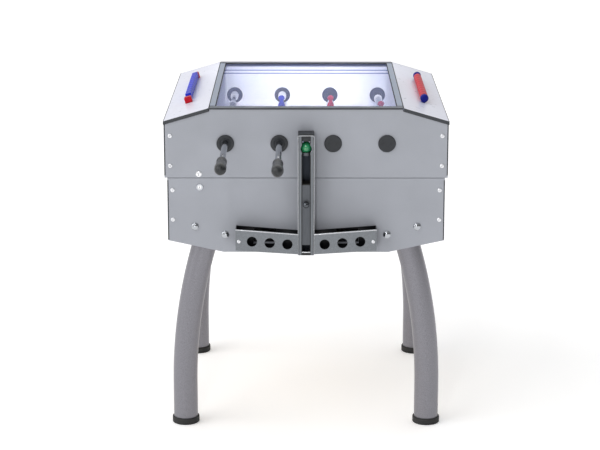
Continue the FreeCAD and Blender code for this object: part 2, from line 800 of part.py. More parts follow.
def make_rod(index):
    """Telescopic rod: inner spindle, outer tube, figures, bumpers and handle."""
    x = rod_x(index)
    side = handle_sides[index]
    offset = rest_offsets[index]
    name = "rod_%d_" % (index + 1)
    spindle_end = side_face - blind_depth - stop_gap
    spindle = [(0, -spindle_inner_end), (spindle_radius, -spindle_inner_end),
               (spindle_radius, spindle_end), (0, spindle_end)]
    add(name + "spindle", turned_between(spindle, -side, x, rod_height))

    hollow = spindle_radius + running_clearance
    tube_end = handle_tip - tube_plug_depth
    tube = [(hollow, -push_end), (tube_radius, -push_end), (tube_radius, tube_end), (hollow, tube_end)]

    def place(shape):
        moved = shape.translated(V(0, offset, 0))
        return moved.rotated(V(x, 0, rod_height), V(0, 1, 0), rest_tilts[index])

    add(name + "tube", place(turned_between(tube, side, x, rod_height)))
    half = (figure_counts[index] - 1) // 2
    men = [figure().translated(V(x, n * figure_spacing, rod_height)) for n in range(-half, half + 1)]
    add(name + "figures", [place(man) for man in men])

    bore = tube_radius + fixed_clearance
    bumpers = []
    for end, length, sign in ((pull_end, bumper_length, 1), (push_end, end_bumper_length, -1)):
        start = end - length
        edge = bumper_radius - bumper_chamfer
        ring = [(bore, start), (edge, start), (bumper_radius, start + bumper_chamfer),
                (bumper_radius, end - bumper_chamfer), (edge, end), (bore, end)]
        bumpers.append(place(turned_between(ring, side * sign, x, rod_height)))
    add(name + "bumpers", bumpers)
    add(name + "handle", place(turned_between(handle_profile(), side, x, rod_height)))


# --- Score counters, screws and lock -------------------------------------------------------

def scorer_axis():
    """X and Z of a score counter's rod on the right deck."""
    tilt = math.atan(deck_fall)
    x = scorer_place + scorer_lift * math.sin(tilt)
    return x, deck_z(scorer_place) + scorer_lift * math.cos(tilt)


def on_deck(shape):
    """Turn a shape about the counter's axis so that its base lies on the deck."""
    x, z = scorer_axis()
    return shape.rotated(V(x, 0, z), V(0, 1, 0), math.degrees(math.atan(deck_fall)))


def make_scorers():
    x, z = scorer_axis()
    bore = scorer_rod_radius + bead_clearance

    blue_run = bead_count * blue_bead_length
    left_back = left_scorer_front + 2 * scorer_block_length + blue_run + blue_bead_gap
    rod = rod_y(scorer_rod_radius, left_scorer_front + scorer_rod_inset,
                left_back - scorer_rod_inset, x, z)
    rods = [flip_x(rod)]
    for y in (left_scorer_front, left_back - scorer_block_length):
        block = box(x - scorer_block_half, x + scorer_block_half, y, y + scorer_block_length,
                    z - scorer_lift, z + scorer_block_rise)
        rods.append(flip_x(on_deck(block.cut(rod))))
    first = left_scorer_front + scorer_block_length + blue_bead_gap
    beads = []
    for i in range(bead_count):
        y = first + i * blue_bead_length
        bead = box(x - blue_bead_half, x + blue_bead_half, y + bead_gap,
                   y + blue_bead_length - bead_gap, z - blue_bead_half, z + blue_bead_half)
        bead = bead.makeChamfer(blue_bead_chamfer, [e for e in bead.Edges if is_along_y(e)])
        bead = bead.cut(rod_y(bore, y, y + blue_bead_length, x, z))
        beads.append(flip_x(on_deck(bead)))
    add("left_scorer_beads", beads)

    red_run = bead_count * red_bead_length
    right_back = right_scorer_front + 2 * scorer_knob_length + red_run + red_bead_gap
    rod = rod_y(scorer_rod_radius, right_scorer_front + scorer_rod_inset,
                right_back - scorer_rod_inset, x, z)
    rods.append(rod)
    for y in (right_scorer_front, right_back - scorer_knob_length):
        knob = rod_y(scorer_knob_radius, y, y + scorer_knob_length, x, z)
        knob = knob.makeFillet(scorer_knob_round, [e for e in knob.Edges if len(e.Vertexes) == 1])
        foot = on_deck(box(x - scorer_foot_half, x + scorer_foot_half, y + scorer_foot_inset,
                           y + scorer_knob_length - scorer_foot_inset, z - scorer_lift, z))
        rods.append(knob.fuse(foot).cut(rod).removeSplitter())
    add("scorer_rails", rods)
    first = right_scorer_front + scorer_knob_length
    beads = []
    for i in range(bead_count):
        y = first + i * red_bead_length
        start = y + bead_gap
        end = y + red_bead_length - bead_gap
        edge = bead_radius - red_bead_step
        profile = [(bore, start), (edge, start), (bead_radius, start + red_bead_shoulder),
                   (bead_radius, end - red_bead_shoulder), (edge, end), (bore, end)]
        beads.append(turned_y(profile, x, z))
    add("right_scorer_beads", beads)


def make_screws():
    screws = []
    places = [(upper_screw_x, z) for z in upper_screw_heights]
    places += [(lower_screw_x, z) for z in lower_screw_heights]
    for x, z in places:
        screws += four_corners(screw(x, z, screw_head_radius, screw_length, side_face))
    x, z = tray_screw_place
    tray_front = side_face + tray_depth
    screws += both_ends(flip_y(screw(x, z, tray_screw_head, tray_screw_length, tray_front)))
    x, z = board_screw_place
    screws.append(flip_y(screw(x, z, board_screw_head, screw_length + screw_head_height, side_face)))
    add("screws", screws)


def screw(x, z, head, length, face):
    """Pan-head screw in a rear face, pointing forwards."""
    tip = face + screw_head_height - length
    top = face + screw_head_height
    return turned_y([(0, tip), (screw_radius, tip), (screw_radius, face), (head, face),
                     (head * screw_head_taper, top), (0, top)], x, z)


def make_lock():
    x, z = lock_place
    bore = lock_plug_radius + running_clearance
    back = side_face - lock_barrel_length
    tail = back - lock_plug_tail
    front = side_face + lock_flange_height
    profile = [(bore, back), (lock_barrel_radius, back), (lock_barrel_radius, side_face),
               (lock_flange_radius, side_face), (lock_flange_radius - stop_chamfer, front), (bore, front)]
    add("lock_barrel", turned_between(profile, -1, x, z))
    face = side_face + lock_plug_rise
    plug = turned_between([(0, tail), (lock_plug_radius, tail), (lock_plug_radius, face), (0, face)],
                          -1, x, z)
    keyway = box(x - keyway_width / 2, x + keyway_width / 2, -face - past, -side_face + keyway_depth,
                 z - keyway_height / 2, z + keyway_height / 2)
    half = lock_cam_width / 2
    cam_face = -back + past
    cam = box(x - half, x + half, cam_face, cam_face + lock_cam_thickness,
              z - half, z + lock_cam_length - half)
    add("lock_plug", plug.cut(keyway).fuse(cam).removeSplitter())


def main():
    make_panels()
    make_boards()
    make_pitch_walls()
    make_deck()
    make_glass()
    make_ramps()
    make_trays()
    make_lift()
    make_legs()
    make_bearings()
    for index in range(len(rod_places)):
        make_rod(index)
    make_scorers()
    make_screws()
    make_lock()
    os.makedirs("parts", exist_ok=True)
    for name, shape in nodes.items():
        if not shape.isValid():
            raise ValueError("not valid: " + name)
        shape.exportStep("parts/" + name + ".step")
        print(name, len(shape.Solids), round(shape.Volume / 1000.0, 1))
    print(len(nodes), "nodes")


main()
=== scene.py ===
import json
import math

import bmesh
import bpy
import numpy as np
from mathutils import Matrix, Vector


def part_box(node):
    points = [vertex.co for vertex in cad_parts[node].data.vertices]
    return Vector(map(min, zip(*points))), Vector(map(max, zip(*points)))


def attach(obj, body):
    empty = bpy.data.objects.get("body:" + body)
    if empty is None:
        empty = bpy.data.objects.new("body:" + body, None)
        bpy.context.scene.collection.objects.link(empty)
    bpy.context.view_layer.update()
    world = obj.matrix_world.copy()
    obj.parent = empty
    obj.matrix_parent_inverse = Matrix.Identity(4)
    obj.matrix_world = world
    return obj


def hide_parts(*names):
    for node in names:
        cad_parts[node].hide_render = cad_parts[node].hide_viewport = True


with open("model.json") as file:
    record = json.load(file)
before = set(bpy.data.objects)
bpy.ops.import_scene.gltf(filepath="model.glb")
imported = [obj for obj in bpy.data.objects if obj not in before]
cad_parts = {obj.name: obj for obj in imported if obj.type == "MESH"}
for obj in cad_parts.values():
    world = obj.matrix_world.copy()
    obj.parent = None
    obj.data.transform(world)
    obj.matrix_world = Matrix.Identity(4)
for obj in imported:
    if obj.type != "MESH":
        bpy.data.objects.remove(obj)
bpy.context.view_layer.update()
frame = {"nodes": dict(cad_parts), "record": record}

bl_info = {
    "name": "Foosball table",
    "version": (1, 0, 0),
    "blender": (4, 5, 0),
    "location": "View3D > Sidebar > Foosball",
    "description": "Builds the finished surfaces of a foosball table around its engineering model",
    "category": "Object",
}

MM = 0.001
SEGMENTS = 48          # facets round a turned part
RODS = (1, 2, 3, 4)
RUNNING_GAP = 0.06 * MM    # between a rod and its open bearing

# Grip: radius and distance behind its front face, up to its domed end, in mm.
GRIP = ((11.0, 0.0), (12.4, 0.8), (13.6, 6.0), (14.0, 14.0), (13.9, 19.0), (13.0, 24.0),
        (12.2, 31.0), (11.9, 38.0), (12.3, 46.0), (13.4, 56.0), (14.7, 68.0), (15.4, 82.0),
        (15.5, 96.0), (15.0, 101.5), (13.4, 107.0), (10.6, 111.3), (6.2, 114.2), (0.0, 115.0))

# Player: height from the rod, half width, half depth, squareness, groove between the legs, in mm.
PLAYER = ((-70.0, 9.6, 9.6, 4.5, 0.0), (-69.0, 10.8, 10.8, 4.5, 0.0), (-62.5, 10.8, 10.4, 4.0, 0.0),
          (-58.0, 10.0, 8.0, 3.2, 0.1), (-52.0, 8.8, 6.2, 2.6, 0.3), (-43.0, 9.4, 7.2, 2.5, 0.4),
          (-34.0, 9.6, 6.9, 2.5, 0.4), (-27.0, 10.0, 7.6, 2.6, 0.4), (-25.8, 11.0, 8.8, 2.8, 0.2),
          (-16.0, 10.8, 9.0, 2.8, 0.05), (-9.6, 10.0, 8.4, 2.6, 0.0), (-8.4, 10.8, 9.4, 2.8, 0.0),
          (0.0, 10.4, 10.6, 2.6, 0.0), (7.0, 10.8, 9.6, 2.6, 0.0), (12.0, 11.2, 7.8, 2.5, 0.0),
          (15.5, 9.2, 6.2, 2.3, 0.0), (17.5, 5.6, 5.0, 2.0, 0.0), (19.5, 4.3, 4.3, 2.0, 0.0),
          (25.0, 4.3, 4.3, 2.0, 0.0))


# --- Colours and places ----------------------------------------------------------------------

def srgb(code):
    """Linear RGB of a six-digit sRGB hex code, by the sRGB transfer curve."""
    values = np.array([int(code[i:i + 2], 16) for i in (0, 2, 4)]) / 255.0
    linear = np.where(values <= 0.04045, values / 12.92, ((values + 0.055) / 1.055) ** 2.4)
    return tuple(float(v) for v in linear)


def low(node):
    return np.array(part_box(node)[0])


def high(node):
    return np.array(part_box(node)[1])


def mesh_points(node):
    """Corner points of a node's triangles, (triangles, 3, 3)."""
    mesh = frame["nodes"][node].data
    points = np.empty(len(mesh.vertices) * 3)
    mesh.vertices.foreach_get("co", points)
    index = np.empty(len(mesh.loops), int)
    mesh.loops.foreach_get("vertex_index", index)
    return points.reshape(-1, 3)[index].reshape(-1, 3, 3)


def solids(node):
    """Lowest and highest corners of each separate solid of a node. Triangles that share a point
    get the smaller of their numbers until nothing changes."""
    corners = mesh_points(node)
    _, same = np.unique(np.round(corners.reshape(-1, 3), 6), axis=0, return_inverse=True)
    faces = same.reshape(-1, 3)
    number = np.arange(same.max() + 1)
    while True:
        least = number.copy()
        np.minimum.at(least, faces.ravel(), np.repeat(number[faces].min(1), 3))
        least = least[least]
        if (least == number).all():
            break
        number = least
    belongs = number[faces[:, 0]]
    return [(corners[belongs == n].min((0, 1)), corners[belongs == n].max((0, 1)))
            for n in np.unique(belongs)]


def middle_and_radius(start, end):
    """Middle of a box between two corners, and half its width along X."""
    return (start + end) / 2, (end[0] - start[0]) / 2


def foot_places():
    """X and Y of the four feet, from the mounts that the table stands on."""
    mounts = frame["record"]["mounts"]
    return [mount["pos_m"][:2] for mount in mounts if mount["name"].endswith("foot")]


def deck_tilt():
    """Angle of the sloping decks, from the top of their inner and outer edges."""
    points = mesh_points("end_decks").reshape(-1, 3)
    points = points[points[:, 0] > 0]
    inner = points[points[:, 0] < points[:, 0].min() + MM / 10]
    outer = points[points[:, 0] > points[:, 0].max() - MM / 10]
    return math.atan2(inner[:, 2].max() - outer[:, 2].max(), outer[0, 0] - inner[0, 0])


# --- Surfaces --------------------------------------------------------------------------------

def grid(points, wrap_rows=False, wrap_columns=True):
    """Surface over a (rows, columns, 3) array: each cell is a quad between neighbours, and a
    wrapped direction joins its last line to its first."""
    rows, columns = points.shape[:2]
    index = np.arange(rows * columns).reshape(rows, columns)
    if wrap_rows:
        index = np.vstack([index, index[:1]])
    if wrap_columns:
        index = np.hstack([index, index[:, :1]])
    quads = np.stack([index[:-1, :-1], index[:-1, 1:], index[1:, 1:], index[1:, :-1]], -1)
    return points.reshape(-1, 3), quads.reshape(-1, 4)


def joined(surfaces):
    """Several surfaces as one: the points in a row and each quad shifted to its own points."""
    shift = np.cumsum([0] + [len(points) for points, _ in surfaces[:-1]])
    points = np.vstack([points for points, _ in surfaces])
    quads = np.vstack([quads + start for (_, quads), start in zip(surfaces, shift)])
    return points, quads


def lathe(profile, centre, axis="Y", segments=SEGMENTS, ring=False):
    """Solid of revolution: point = centre + place * axis + radius * (cos t, sin t) across it,
    for each (radius, place) of the profile and t round the circle."""
    profile = np.asarray(profile, float)
    t = np.linspace(0, 2 * math.pi, segments, endpoint=False)
    across = {"X": (1, 2, 0), "Y": (2, 0, 1), "Z": (0, 1, 2)}[axis]
    points = np.empty((len(profile), segments, 3))
    points[..., across[0]] = profile[:, :1] * np.cos(t)
    points[..., across[1]] = profile[:, :1] * np.sin(t)
    points[..., across[2]] = profile[:, 1:2]
    return grid(points + np.asarray(centre, float), wrap_rows=ring)


def soften(outline, radius, steps=4, closed=True):
    """Polyline whose corners become curves: between points a radius before and after each
    corner, (1 - s)^2 before + 2 s (1 - s) corner + s^2 after."""
    outline = np.asarray(outline, float)
    s = np.linspace(0, 1, steps + 1)[:, None]
    result = []
    last = len(outline) - 1
    for i, corner in enumerate(outline):
        if not closed and i in (0, last):
            result.append(corner[None])
            continue
        before = outline[i - 1] - corner
        after = outline[(i + 1) % len(outline)] - corner
        reach = min(radius, np.linalg.norm(before) * 0.49, np.linalg.norm(after) * 0.49)
        start = corner + before / np.linalg.norm(before) * reach
        end = corner + after / np.linalg.norm(after) * reach
        result.append((1 - s) ** 2 * start + 2 * s * (1 - s) * corner + s ** 2 * end)
    return np.vstack(result)


def eased(table, rows):
    """Rows of a table filled in evenly between its own, then each averaged with its neighbours
    so that no kink is left."""
    table = np.asarray(table, float)
    along = np.linspace(table[0, 0], table[-1, 0], rows)
    filled = np.stack([np.interp(along, table[:, 0], column) for column in table.T], -1)
    padded = np.vstack([filled[:1], filled, filled[-1:]])
    return (padded[:-2] + 2 * padded[1:-1] + padded[2:]) / 4


def tube(path, radius, across, segments=SEGMENTS, inner=None):
    """Round tube along a path in a plane: point = path + radius * (cos t * across + sin t *
    normal). With an inner radius the surface returns inside; without, it closes at its ends."""
    path = np.asarray(path, float)
    tangent = np.gradient(path, axis=0)
    tangent /= np.linalg.norm(tangent, axis=1)[:, None]
    across = np.asarray(across, float)
    normal = np.cross(across, tangent)
    t = np.linspace(0, 2 * math.pi, segments, endpoint=False)[None, :, None]
    ring = np.cos(t) * across + np.sin(t) * normal[:, None, :]
    outer = path[:, None, :] + np.reshape(radius, (-1, 1, 1)) * ring
    if inner is None:
        caps = np.repeat(path[[0, -1], None], segments, 1)
        return grid(np.vstack([caps[:1], outer, caps[1:]]))
    inside = path[:, None, :] + inner * ring
    return grid(np.vstack([outer, inside[::-1]]), wrap_rows=True)


def prism(outline, start, end, axis="Y", rim=0.0):
    """Outline carried from start to end along an axis and closed by flat ends, whose edges are
    drawn in by rim. The outline's columns are the two other axes in X, Y, Z order."""
    outline = np.asarray(outline, float)
    centre = (outline.min(0) + outline.max(0)) / 2
    drawn = centre + (outline - centre) * (1 - 2 * rim / np.ptp(outline, axis=0))
    heart = np.repeat(centre[None], len(outline), 0)
    rows = [(heart, start), (drawn, start), (outline, start + rim), (outline, end - rim),
            (drawn, end), (heart, end)]
    place = "XYZ".index(axis)
    others = [i for i in range(3) if i != place]
    points = np.empty((len(rows), len(outline), 3))
    for row, (shape, where) in zip(points, rows):
        row[:, others] = shape
        row[:, place] = where
    return grid(points)


def slab(start, end, round_radius=0.3 * MM):
    """Block between two corners with its upright edges rounded."""
    (x0, y0, z0), (x1, y1, z1) = start, end
    outline = soften([(x0, y0), (x1, y0), (x1, y1), (x0, y1)], round_radius, 2)
    return prism(outline, z0, z1, "Z", min(round_radius, (z1 - z0) / 4))


def turned(surface, centre, axis, angle):
    """Surface turned by an angle about a line through centre along X, Y or Z."""
    points, quads = surface
    a, b = {"X": (1, 2), "Y": (2, 0), "Z": (0, 1)}[axis]
    moved = points - np.asarray(centre, float)
    result = moved.copy()
    result[:, a] = moved[:, a] * math.cos(angle) - moved[:, b] * math.sin(angle)
    result[:, b] = moved[:, a] * math.sin(angle) + moved[:, b] * math.cos(angle)
    return result + centre, quads


def shifted(surface, offset):
    return surface[0] + np.asarray(offset, float), surface[1]


def mirrored(surface, axis):
    """Surface reflected in the plane through the origin across an axis."""
    points = surface[0].copy()
    points[:, "XYZ".index(axis)] *= -1
    return points, surface[1]


def corners(surface):
    """A surface and its three reflections, one for each corner of the table."""
    side = mirrored(surface, "X")
    return [surface, side, mirrored(surface, "Y"), mirrored(side, "Y")]


def piece(name, surfaces, coat, replaced=(), body="cabinet", sharp=38.0):
    """Mesh object from surfaces, in a finish: equal points are merged, faces made to point
    outwards, and edges that turn by more than the sharp angle kept crisp. It rides on a body."""
    points, quads = joined(surfaces if isinstance(surfaces, list) else [surfaces])
    mesh = bpy.data.meshes.new(name)
    mesh.from_pydata(points.tolist(), [], quads.tolist())
    work = bmesh.new()
    work.from_mesh(mesh)
    bmesh.ops.remove_doubles(work, verts=work.verts, dist=1e-6)
    bmesh.ops.dissolve_degenerate(work, edges=work.edges, dist=1e-7)
    bmesh.ops.recalc_face_normals(work, faces=work.faces)
    work.to_mesh(mesh)
    work.free()
    mesh.shade_smooth()
    mesh.set_sharp_from_angle(angle=math.radians(sharp))
    mesh.materials.append(finish(coat))
    item = bpy.data.objects.new(name, mesh)
    bpy.context.scene.collection.objects.link(item)
    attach(item, body)
    if replaced:
        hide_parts(*replaced)
    return item


def finish_nodes(coat, *nodes):
    """Gives engineering nodes their finished material."""
    for name in nodes:
        slots = frame["nodes"][name].data.materials
        slots.clear()
        slots.append(finish(coat))


# --- Materials -------------------------------------------------------------------------------

def add(tree, kind, inputs=None, **settings):
    """Adds a node, sets its properties, and fills its inputs with values or other sockets."""
    item = tree.nodes.new("ShaderNode" + kind)
    for key, value in settings.items():
        setattr(item, key, value)
    for key, value in (inputs or {}).items():
        if isinstance(value, bpy.types.NodeSocket):
            tree.links.new(value, item.inputs[key])
        else:
            item.inputs[key].default_value = value
    return item


def new_material(name, colour, roughness, metallic=0.0, **sockets):
    """Material with one Principled shader, and the Object coordinates its patterns read."""
    material = bpy.data.materials.new(name)
    material.use_nodes = True
    tree = material.node_tree
    tree.nodes.clear()
    shader = add(tree, "BsdfPrincipled", {"Base Color": (*colour, 1.0), "Roughness": roughness,
                                          "Metallic": metallic, **sockets})
    output = add(tree, "OutputMaterial")
    tree.links.new(shader.outputs[0], output.inputs["Surface"])
    where = add(tree, "TexCoord").outputs["Object"]
    return material, tree, shader, where


def noise(tree, where, size, detail=3.0, stretch=None):
    """Noise whose blotches are about size metres across, stretched along an axis if asked."""
    if stretch:
        where = add(tree, "Mapping", {"Vector": where, "Scale": stretch}).outputs[0]
    inputs = {"Vector": where, "Scale": 1.0 / size, "Detail": detail}
    return add(tree, "TexNoise", inputs).outputs["Fac"]


def vary(tree, shader, factor, dark, light, start=0.3, end=0.7):
    """Base colour between two colours, by a pattern's value."""
    ramp = add(tree, "ValToRGB", {"Fac": factor})
    for item, position, colour in zip(ramp.color_ramp.elements, (start, end), (dark, light)):
        item.position = position
        item.color = (*colour, 1.0)
    tree.links.new(ramp.outputs["Color"], shader.inputs["Base Color"])
    return ramp.outputs["Color"]


def gloss(tree, shader, factor, start, end):
    """Roughness from start to end, by a pattern's value."""
    spread = add(tree, "MapRange", {"Value": factor, "From Min": 0.25, "From Max": 0.75,
                                    "To Min": start, "To Max": end})
    tree.links.new(spread.outputs[0], shader.inputs["Roughness"])


def relief(tree, shader, height, depth, strength=1.0):
    """Bump of a real depth in metres."""
    bump = add(tree, "Bump", {"Height": height, "Distance": depth, "Strength": strength})
    tree.links.new(bump.outputs[0], shader.inputs["Normal"])


def shade(colour, factor):
    return tuple(min(1.0, c * factor) for c in colour)


def patterned(name, colour, roughness, pattern, tint, sheen=None, metallic=0.0, **sockets):
    """Material whose colour runs between two shades of its own, and whose roughness between the
    two values of its sheen, by one noise pattern, given by its size, detail and stretch."""
    material, tree, shader, where = new_material(name, colour, roughness, metallic, **sockets)
    value = noise(tree, where, *pattern)
    vary(tree, shader, value, shade(colour, tint[0]), shade(colour, tint[1]))
    if sheen:
        gloss(tree, shader, value, *sheen)
    return material, tree, shader, where, value


def pressed_laminate(name, colour):
    """High-pressure laminate on board, pearl-textured in the press: an even grey with a fine
    grain that breaks up highlights, and a soft satin sheen."""
    material, tree, shader, where = new_material(name, colour, 0.46)
    # The real pearl grain is 0.3 mm; it is drawn at 2 mm so that it shows.
    grain = noise(tree, where, 2 * MM, 4.0)
    cloud = noise(tree, where, 90 * MM, 2.0)
    both = add(tree, "Math", {0: grain, 1: cloud}, operation="ADD").outputs[0]
    half = add(tree, "Math", {0: both, 1: 0.5}, operation="MULTIPLY").outputs[0]
    vary(tree, shader, half, shade(colour, 0.93), shade(colour, 1.07))
    gloss(tree, shader, grain, 0.40, 0.54)
    relief(tree, shader, grain, 0.05 * MM, 0.4)
    return material


def melamine(name, colour):
    """Melamine-faced board: smooth, slightly glossy, with a faint mottling."""
    material, tree, shader, where, _ = patterned(name, colour, 0.32, (14 * MM, 3.0),
                                                 (0.965, 1.02), (0.26, 0.38))
    relief(tree, shader, noise(tree, where, 1.6 * MM, 2.0), 0.02 * MM, 0.4)
    return material


def abs_edging(name, colour):
    """ABS edging, extruded: dark, with faint lengthwise die lines and a dull sheen."""
    die_lines = (1.2 * MM, 2.0, (1.0, 0.05, 0.3))
    return patterned(name, colour, 0.42, die_lines, (0.8, 1.4), (0.34, 0.52))[0]


def toughened_glass(name, colour):
    """Toughened float glass: thin and clear, with a sharp reflection; its pale blue tint is a
    painted reflection.
    """
    # The pale blue base colour at low alpha is a painted reflection of the bright room.
    material, tree, shader, where, _ = patterned(name, colour, 0.03, (90 * MM, 3.0), (0.97, 1.0),
                                                 (0.01, 0.05), IOR=1.5, Alpha=0.16)
    # Roller waves from toughening, long and almost flat.
    relief(tree, shader, noise(tree, where, 200 * MM, 1.0, (1.0, 0.3, 1.0)), 0.02 * MM, 0.1)
    return material


def anodised_aluminium(name, colour, along=(1.0, 0.03, 1.0)):
    """Anodised aluminium, extruded: satin metal with die lines along its length."""
    material, tree, shader, _, lines = patterned(name, colour, 0.38, (1.2 * MM, 3.0, along),
                                                 (0.88, 1.12), (0.30, 0.46), 0.75)
    relief(tree, shader, lines, 0.02 * MM, 0.4)
    return material


def hammer_coat(name, colour, grain_size, flecks, metallic=0.35):
    """Powder coat with aluminium flake, baked on steel: a fine orange-peel grain, small dark
    pits and bright flecks."""
    material, tree, shader, where = new_material(name, colour, 0.42, metallic)
    grain = noise(tree, where, grain_size, 3.0)
    base = vary(tree, shader, grain, shade(colour, 0.84), shade(colour, 1.16), 0.34, 0.66)
    gloss(tree, shader, grain, 0.30, 0.42)
    relief(tree, shader, grain, 0.04 * MM, 0.4)
    cells = add(tree, "TexVoronoi", {"Vector": where, "Scale": 1.0 / grain_size})
    near = add(tree, "MapRange", {"Value": cells.outputs["Distance"], "From Max": 0.7,
                                  "To Min": 1.0, "To Max": 0.0}).outputs[0]
    fleck = add(tree, "Math", {0: near, 1: flecks}, operation="POWER").outputs[0]
    blend_base(tree, shader, fleck, base, shade(colour, 1.9))
    return material


def blend_base(tree, shader, factor, usual, colour):
    """Base colour that goes from a pattern's own to another colour where the factor is 1."""
    inputs = {"Factor": factor, 6: usual, 7: (*colour, 1.0)}
    mixed = add(tree, "Mix", inputs, data_type="RGBA")
    tree.links.new(mixed.outputs[2], shader.inputs["Base Color"])


def paint_beyond(material, axis, limit, colour, above=True):
    """Paints the part of a material beyond a place along an object axis in another colour."""
    tree = material.node_tree
    shader = next(item for item in tree.nodes if item.type == "BSDF_PRINCIPLED")
    where = next(item for item in tree.nodes if item.type == "TEX_COORD").outputs["Object"]
    usual = shader.inputs["Base Color"].links[0].from_socket
    place = add(tree, "SeparateXYZ", {0: where}).outputs["XYZ".index(axis)]
    side = "GREATER_THAN" if above else "LESS_THAN"
    beyond = add(tree, "Math", {0: place, 1: limit}, operation=side).outputs[0]
    blend_base(tree, shader, beyond, usual, colour)
    return material


def lined_tray_coat(name, colour):
    """Hammer-finish coat outside, painted shade inside: a grey face, with the hollow behind it
    painted near-black.
    """
    sheet = 1.2 * MM
    material = hammer_coat(name, colour, 1.8 * MM, 6.0)
    # Painted shade: everything behind the front sheet of the tray is painted near-black.
    return paint_beyond(material, "Y", low("right_ball_tray")[1] + sheet, srgb("0B0C12"))


def channel_painted_shade_inside(name, colour):
    """Anodised extrusion whose inside is painted dark blue-black as painted shade."""
    sheet = 2.6 * MM
    material = anodised_aluminium(name, colour, (1.0, 1.0, 0.03))
    # Painted shade: everything behind the channel's front wall is painted dark blue-black.
    return paint_beyond(material, "Y", low("lift_channel")[1] + sheet, srgb("2C313A"))


def two_tone_trim(name, colour):
    """Anodised extrusions: pale rails at the sides, darker trims along the front and rear."""
    trim_width = 27 * MM
    material = anodised_aluminium(name, colour, (0.03, 0.03, 1.0))
    limit = high("glass_frame")[1] - trim_width
    for above in (True, False):
        paint_beyond(material, "Y", limit if above else -limit, srgb("5C6370"), above)
    return material


def edged_melamine(name, colour):
    """White melamine board whose top edge has dark banding."""
    banding = 1.6 * MM
    material = melamine(name, colour)
    return paint_beyond(material, "Z", high("pitch_side_walls")[2] - banding, srgb("3A3E48"))


def moulded_nylon(name, colour, roughness=0.42):
    """Injection-moulded nylon: spark-eroded grain and soft highlights, its gloss varying in
    patches.
    """
    sheen = (roughness - 0.08, roughness + 0.12)
    material, tree, shader, where, _ = patterned(name, colour, roughness, (9 * MM, 4.0),
                                                 (0.85, 1.3), sheen)
    relief(tree, shader, noise(tree, where, 1.1 * MM, 3.0), 0.04 * MM, 0.5)
    return material


def polished_grip(name, colour):
    """Moulded phenolic grip, polished by hands: dark grey, lightly mottled, one clean highlight."""
    return patterned(name, colour, 0.3, (3.5 * MM, 3.0), (0.6, 1.5), (0.24, 0.4))[0]


def glossy_abs(name, colour, roughness=0.36):
    """Glossy injection-moulded ABS: saturated, with flow marks and a clean highlight."""
    flow = (7 * MM, 3.0, (1.0, 0.4, 1.0))
    sheen = (roughness - 0.05, roughness + 0.1)
    return patterned(name, colour, roughness, flow, (0.84, 1.16), sheen,
                     **{"Specular IOR Level": 0.12})[0]


def chromed_steel(name, colour, roughness=0.1):
    """Hard chrome on steel, polished: a mirror with hairline wiping marks."""
    marks = (1.0 * MM, 3.0, (1.0, 0.05, 1.0))
    sheen = (roughness - 0.04, roughness + 0.08)
    return patterned(name, colour, roughness, marks, (0.92, 1.04), sheen, 1.0)[0]


def zinc_plate(name, colour):
    """Bright zinc plate: pale, slightly mottled metal."""
    return chromed_steel(name, colour, 0.28)


def rubber(name, colour):
    """Black rubber, pressed: matte, with a slight bloom."""
    material, tree, shader, where, _ = patterned(name, colour, 0.68, (5 * MM, 4.0), (0.8, 1.7))
    relief(tree, shader, noise(tree, where, 1.5 * MM, 2.0), 0.05 * MM, 0.5)
    return material


def birch_plywood(name, colour):
    """Birch plywood, sanded: long pale grain with darker pores."""
    along = (5 * MM, 5.0, (1.0, 0.08, 1.0))
    material, tree, shader, _, grain = patterned(name, colour, 0.6, along, (0.72, 1.12))
    relief(tree, shader, grain, 0.08 * MM, 0.5)
    return material


def cast_acrylic(name, colour):
    """Cast acrylic, polished: coloured through and glossy, with a soft glow inside."""
    sockets = {"Coat Weight": 1.0, "Coat Roughness": 0.03, "Subsurface Weight": 0.25,
               "Subsurface Scale": 4 * MM}
    return patterned(name, colour, 0.08, (12 * MM, 3.0), (0.85, 1.2), **sockets)[0]


def printed_ink(name, colour):
    """Screen-printed ink: flat colour, slightly uneven where the screen lifted."""
    return patterned(name, colour, 0.5, (3 * MM, 4.0), (0.9, 1.25), (0.4, 0.6))[0]


